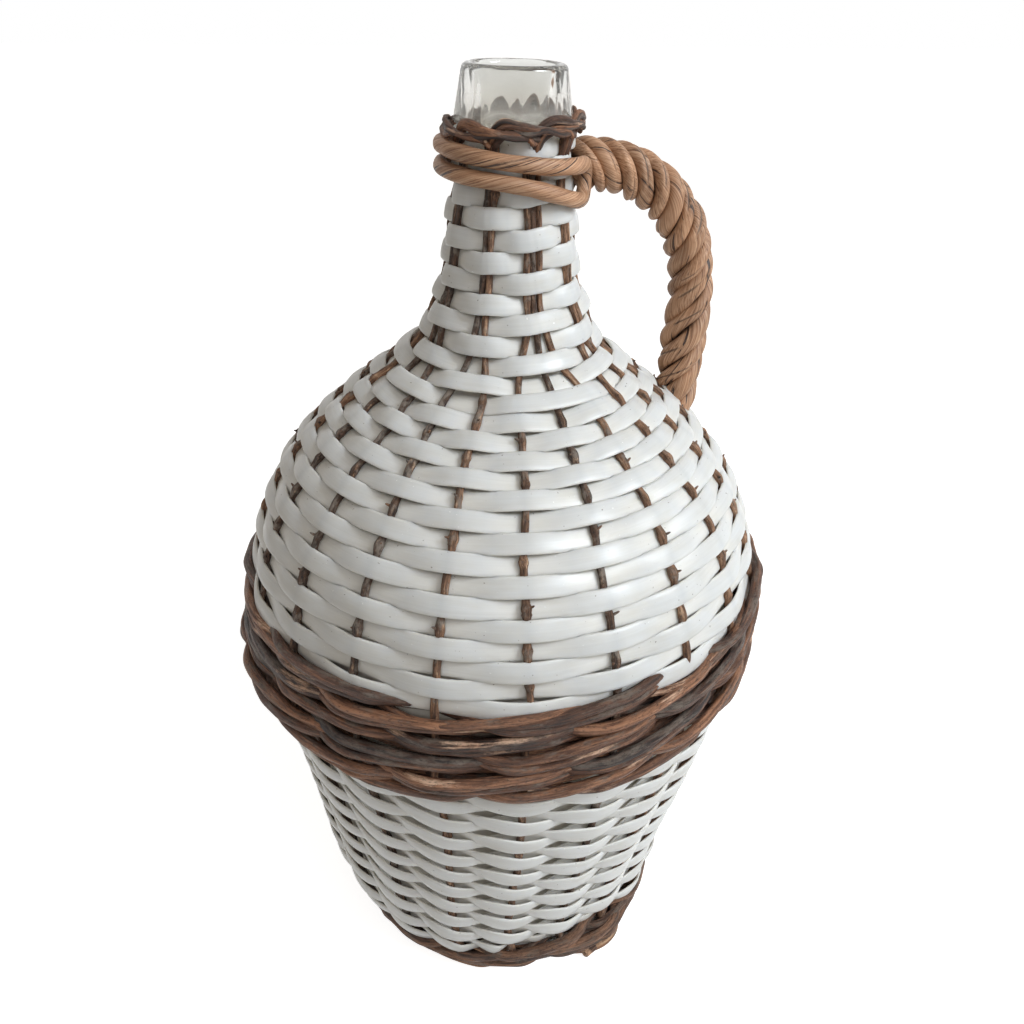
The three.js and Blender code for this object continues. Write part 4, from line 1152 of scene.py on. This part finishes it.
def makeHandle():
    h = handle
    axis, reach = handleAxis(h["steps"])
    tangent = unit(np.gradient(axis, axis=0))
    outward = np.stack([-tangent[:, 2], 0 * reach, tangent[:, 0]], -1)
    sideways = np.array([[0.0, 1, 0]])
    mesh = rod("handleCore", axis, outward, h["core"], 700, h["coreSides"], h["coreRough"])
    place("handleCore", [mesh], twistedFibre, "handle_core")
    growth = (h["layAtFoot"] - h["layAtNeck"]) / reach[-1]
    spin = turn / growth * np.log(1 + growth * reach / h["layAtNeck"])  # the lay grows evenly along the rope
    lean = np.arctan(turn * h["orbit"] / (h["layAtNeck"] + growth * reach))
    room = turn * h["orbit"] / h["strands"] * np.cos(lean)
    half = np.minimum(h["strandRadius"], room / 2 - h["gap"])
    twist = np.tan(lean) / np.cos(lean) / h["strandRadius"]
    fibreTurn = np.cumsum(twist * np.gradient(reach))  # the fibres lie along the rope
    shares = np.array(h["shares"])
    middles = np.cumsum(shares) - shares / 2
    angle = roundTurn(h["sides"])
    for k in range(h["strands"]):
        seed = 710 + k
        phase = (middles[k] - middles[0]) * turn / h["strands"] - spin
        phase = (phase + h["stray"] * wander(reach, h["strayLength"], seed))[:, None]
        radial = outward * np.cos(phase) + sideways * np.sin(phase)
        orbit = h["orbit"] + h["lift"] * wander(reach, h["liftLength"], seed + 20)
        size = uneven(1, h["uneven"], reach, h["unevenLength"], seed + 40)[:, None]
        ridges = np.sin(h["ridges"] * angle + seed) * wander(reach, h["ridgeLength"], seed + 60)[:, None]
        creaseAt = math.pi / 2 + h["creaseStray"] * wander(reach, h["creaseLength"], seed + 80)[:, None]
        parted = ease(wander(reach, h["partedLength"], seed + 90), *h["parted"])[:, None]
        crease = parted * bell(turnFrom(angle, creaseAt) / h["creaseWidth"])  # parts a strand into two plies
        swell = size * (1 + h["ridgeHeight"] * ridges) * (1 - h["crease"] * crease)
        section = np.stack([half[:, None] * shares[k] * np.cos(angle) * swell,
                            h["strandRadius"] * np.sin(angle) * swell], -1)
        # where the painted shade goes: the side of a strand that faces the core, and its creases
        groove = np.maximum((1 - np.sin(angle)) / 2, h["creaseShade"] * crease)
        mesh = sweep("handleStrand", axis + radial * orbit[:, None], radial, section, seed,
                     {"groove": groove}, fibreTurn)
        place(f"handleStrand{k + 1}", [mesh], twistedFibre, f"handle_strand_{k + 1}")


makeHandle()
print("handle made")


# Camera: where the photograph was taken from, in the part's frame
view = {
    "distance": 309.1, "height": 392.6, "azimuth": math.radians(-18), "pitch": math.radians(31.54),
    "yaw": math.radians(0.60), "roll": math.radians(1.68), "focal": 870.0, "pixels": 1024.0, "sensor": 36.0,
}


def standing(right, up, back, spot):  # a matrix from three axes and a place
    pose = np.eye(4)
    pose[:3] = np.stack([right, up, back, spot], -1)
    return Matrix(pose.tolist())


def makeCamera():
    v = view
    spin = np.array(Matrix.Rotation(v["azimuth"], 3, "Z"))
    eye = spin @ np.array([0, -v["distance"], v["height"]])
    level = math.cos(v["pitch"])
    forward = spin @ np.array([level * math.sin(v["yaw"]), level * math.cos(v["yaw"]), -math.sin(v["pitch"])])
    right = unit(np.cross(forward, [0, 0, 1]))
    up = np.cross(right, forward)
    cos, sin = math.cos(v["roll"]), math.sin(v["roll"])
    data = bpy.data.cameras.new("photoCamera")
    data.sensor_width = v["sensor"]
    data.lens = v["sensor"] * v["focal"] / v["pixels"]
    data.clip_start = 0.01
    camera = newObject("photoCamera", data)
    camera.matrix_world = standing(right * cos + up * sin, up * cos - right * sin, -forward, eye * mm)
    bpy.context.scene.camera = camera


makeCamera()


# Light: a broad cool window on the right, a weak lamp in front and a warm room all round, over a white floor
lamps = {  # places and sizes in metres
    "window": {"place": (0.72, -0.70, 1.04), "size": 0.6, "watts": 14.4, "colour": (0.90, 0.96, 1.0)},
    "room": {"place": (-0.10, -1.2, 1.2), "size": 1.2, "watts": 3.9, "colour": (0.96, 0.98, 1.0)},
}
lampAim = (0, 0, 0.19)
world = {"light": 0.265, "colour": (1.0, 0.89, 0.74)}
ground = {"half": 6.0, "colour": (0.62, 0.62, 0.615, 1), "rough": 0.9, "glow": 0.84}


def seenRay(tree):  # 1 for what the camera sees, also in reflections and through glass
    path = add(tree, "ShaderNodeLightPath").outputs
    seen = path["Is Camera Ray"]
    for kind in ("Is Transmission Ray", "Is Glossy Ray"):
        seen = add(tree, "ShaderNodeMath", {0: seen, 1: path[kind]}, operation="MAXIMUM").outputs[0]
    return seen


def makeLight():
    for name, lamp in lamps.items():
        data = bpy.data.lights.new(name, "AREA")
        data.shape = "DISK"
        data.size = lamp["size"]
        data.energy = lamp["watts"]
        data.color = lamp["colour"]
        spot = np.array(lamp["place"])
        back = unit(spot - np.array(lampAim))
        right = unit(np.cross([0, 0, 1], back))
        newObject(name, data).matrix_world = standing(right, np.cross(back, right), back, spot)
    sky = bpy.data.worlds.new("softRoom")
    sky.use_nodes = True
    tree = sky.node_tree
    tree.nodes.clear()
    dim = add(tree, "ShaderNodeBackground", {"Color": world["colour"] + (1,), "Strength": world["light"]})
    white = add(tree, "ShaderNodeBackground", {"Color": (1, 1, 1, 1), "Strength": 1.0})
    both = add(tree, "ShaderNodeMixShader", {0: seenRay(tree), 1: dim.outputs[0], 2: white.outputs[0]})
    add(tree, "ShaderNodeOutputWorld", {"Surface": both.outputs[0]})
    bpy.context.scene.world = sky
    bpy.context.scene.view_settings.view_transform = "Standard"


def makeFloor():
    # One broad sheet at the ground, white to the camera apart from the shadow on it.
    half = ground["half"]
    mesh = bpy.data.meshes.new("floor")
    corners = [(-half, -half, 0), (half, -half, 0), (half, half, 0), (-half, half, 0)]
    mesh.from_pydata(corners, [], [(0, 1, 2, 3)])
    material, tree, shader = newMaterial("paleFloor")
    glow = add(tree, "ShaderNodeMath", {0: seenRay(tree), 1: ground["glow"]}, operation="MULTIPLY").outputs[0]
    wire(tree, shader, {"Base Color": ground["colour"], "Roughness": ground["rough"],
                        "Emission Color": (1, 1, 1, 1), "Emission Strength": glow})
    mesh.materials.append(material)
    newObject("floor", mesh)


makeLight()
makeFloor()
print("camera, light and floor set")
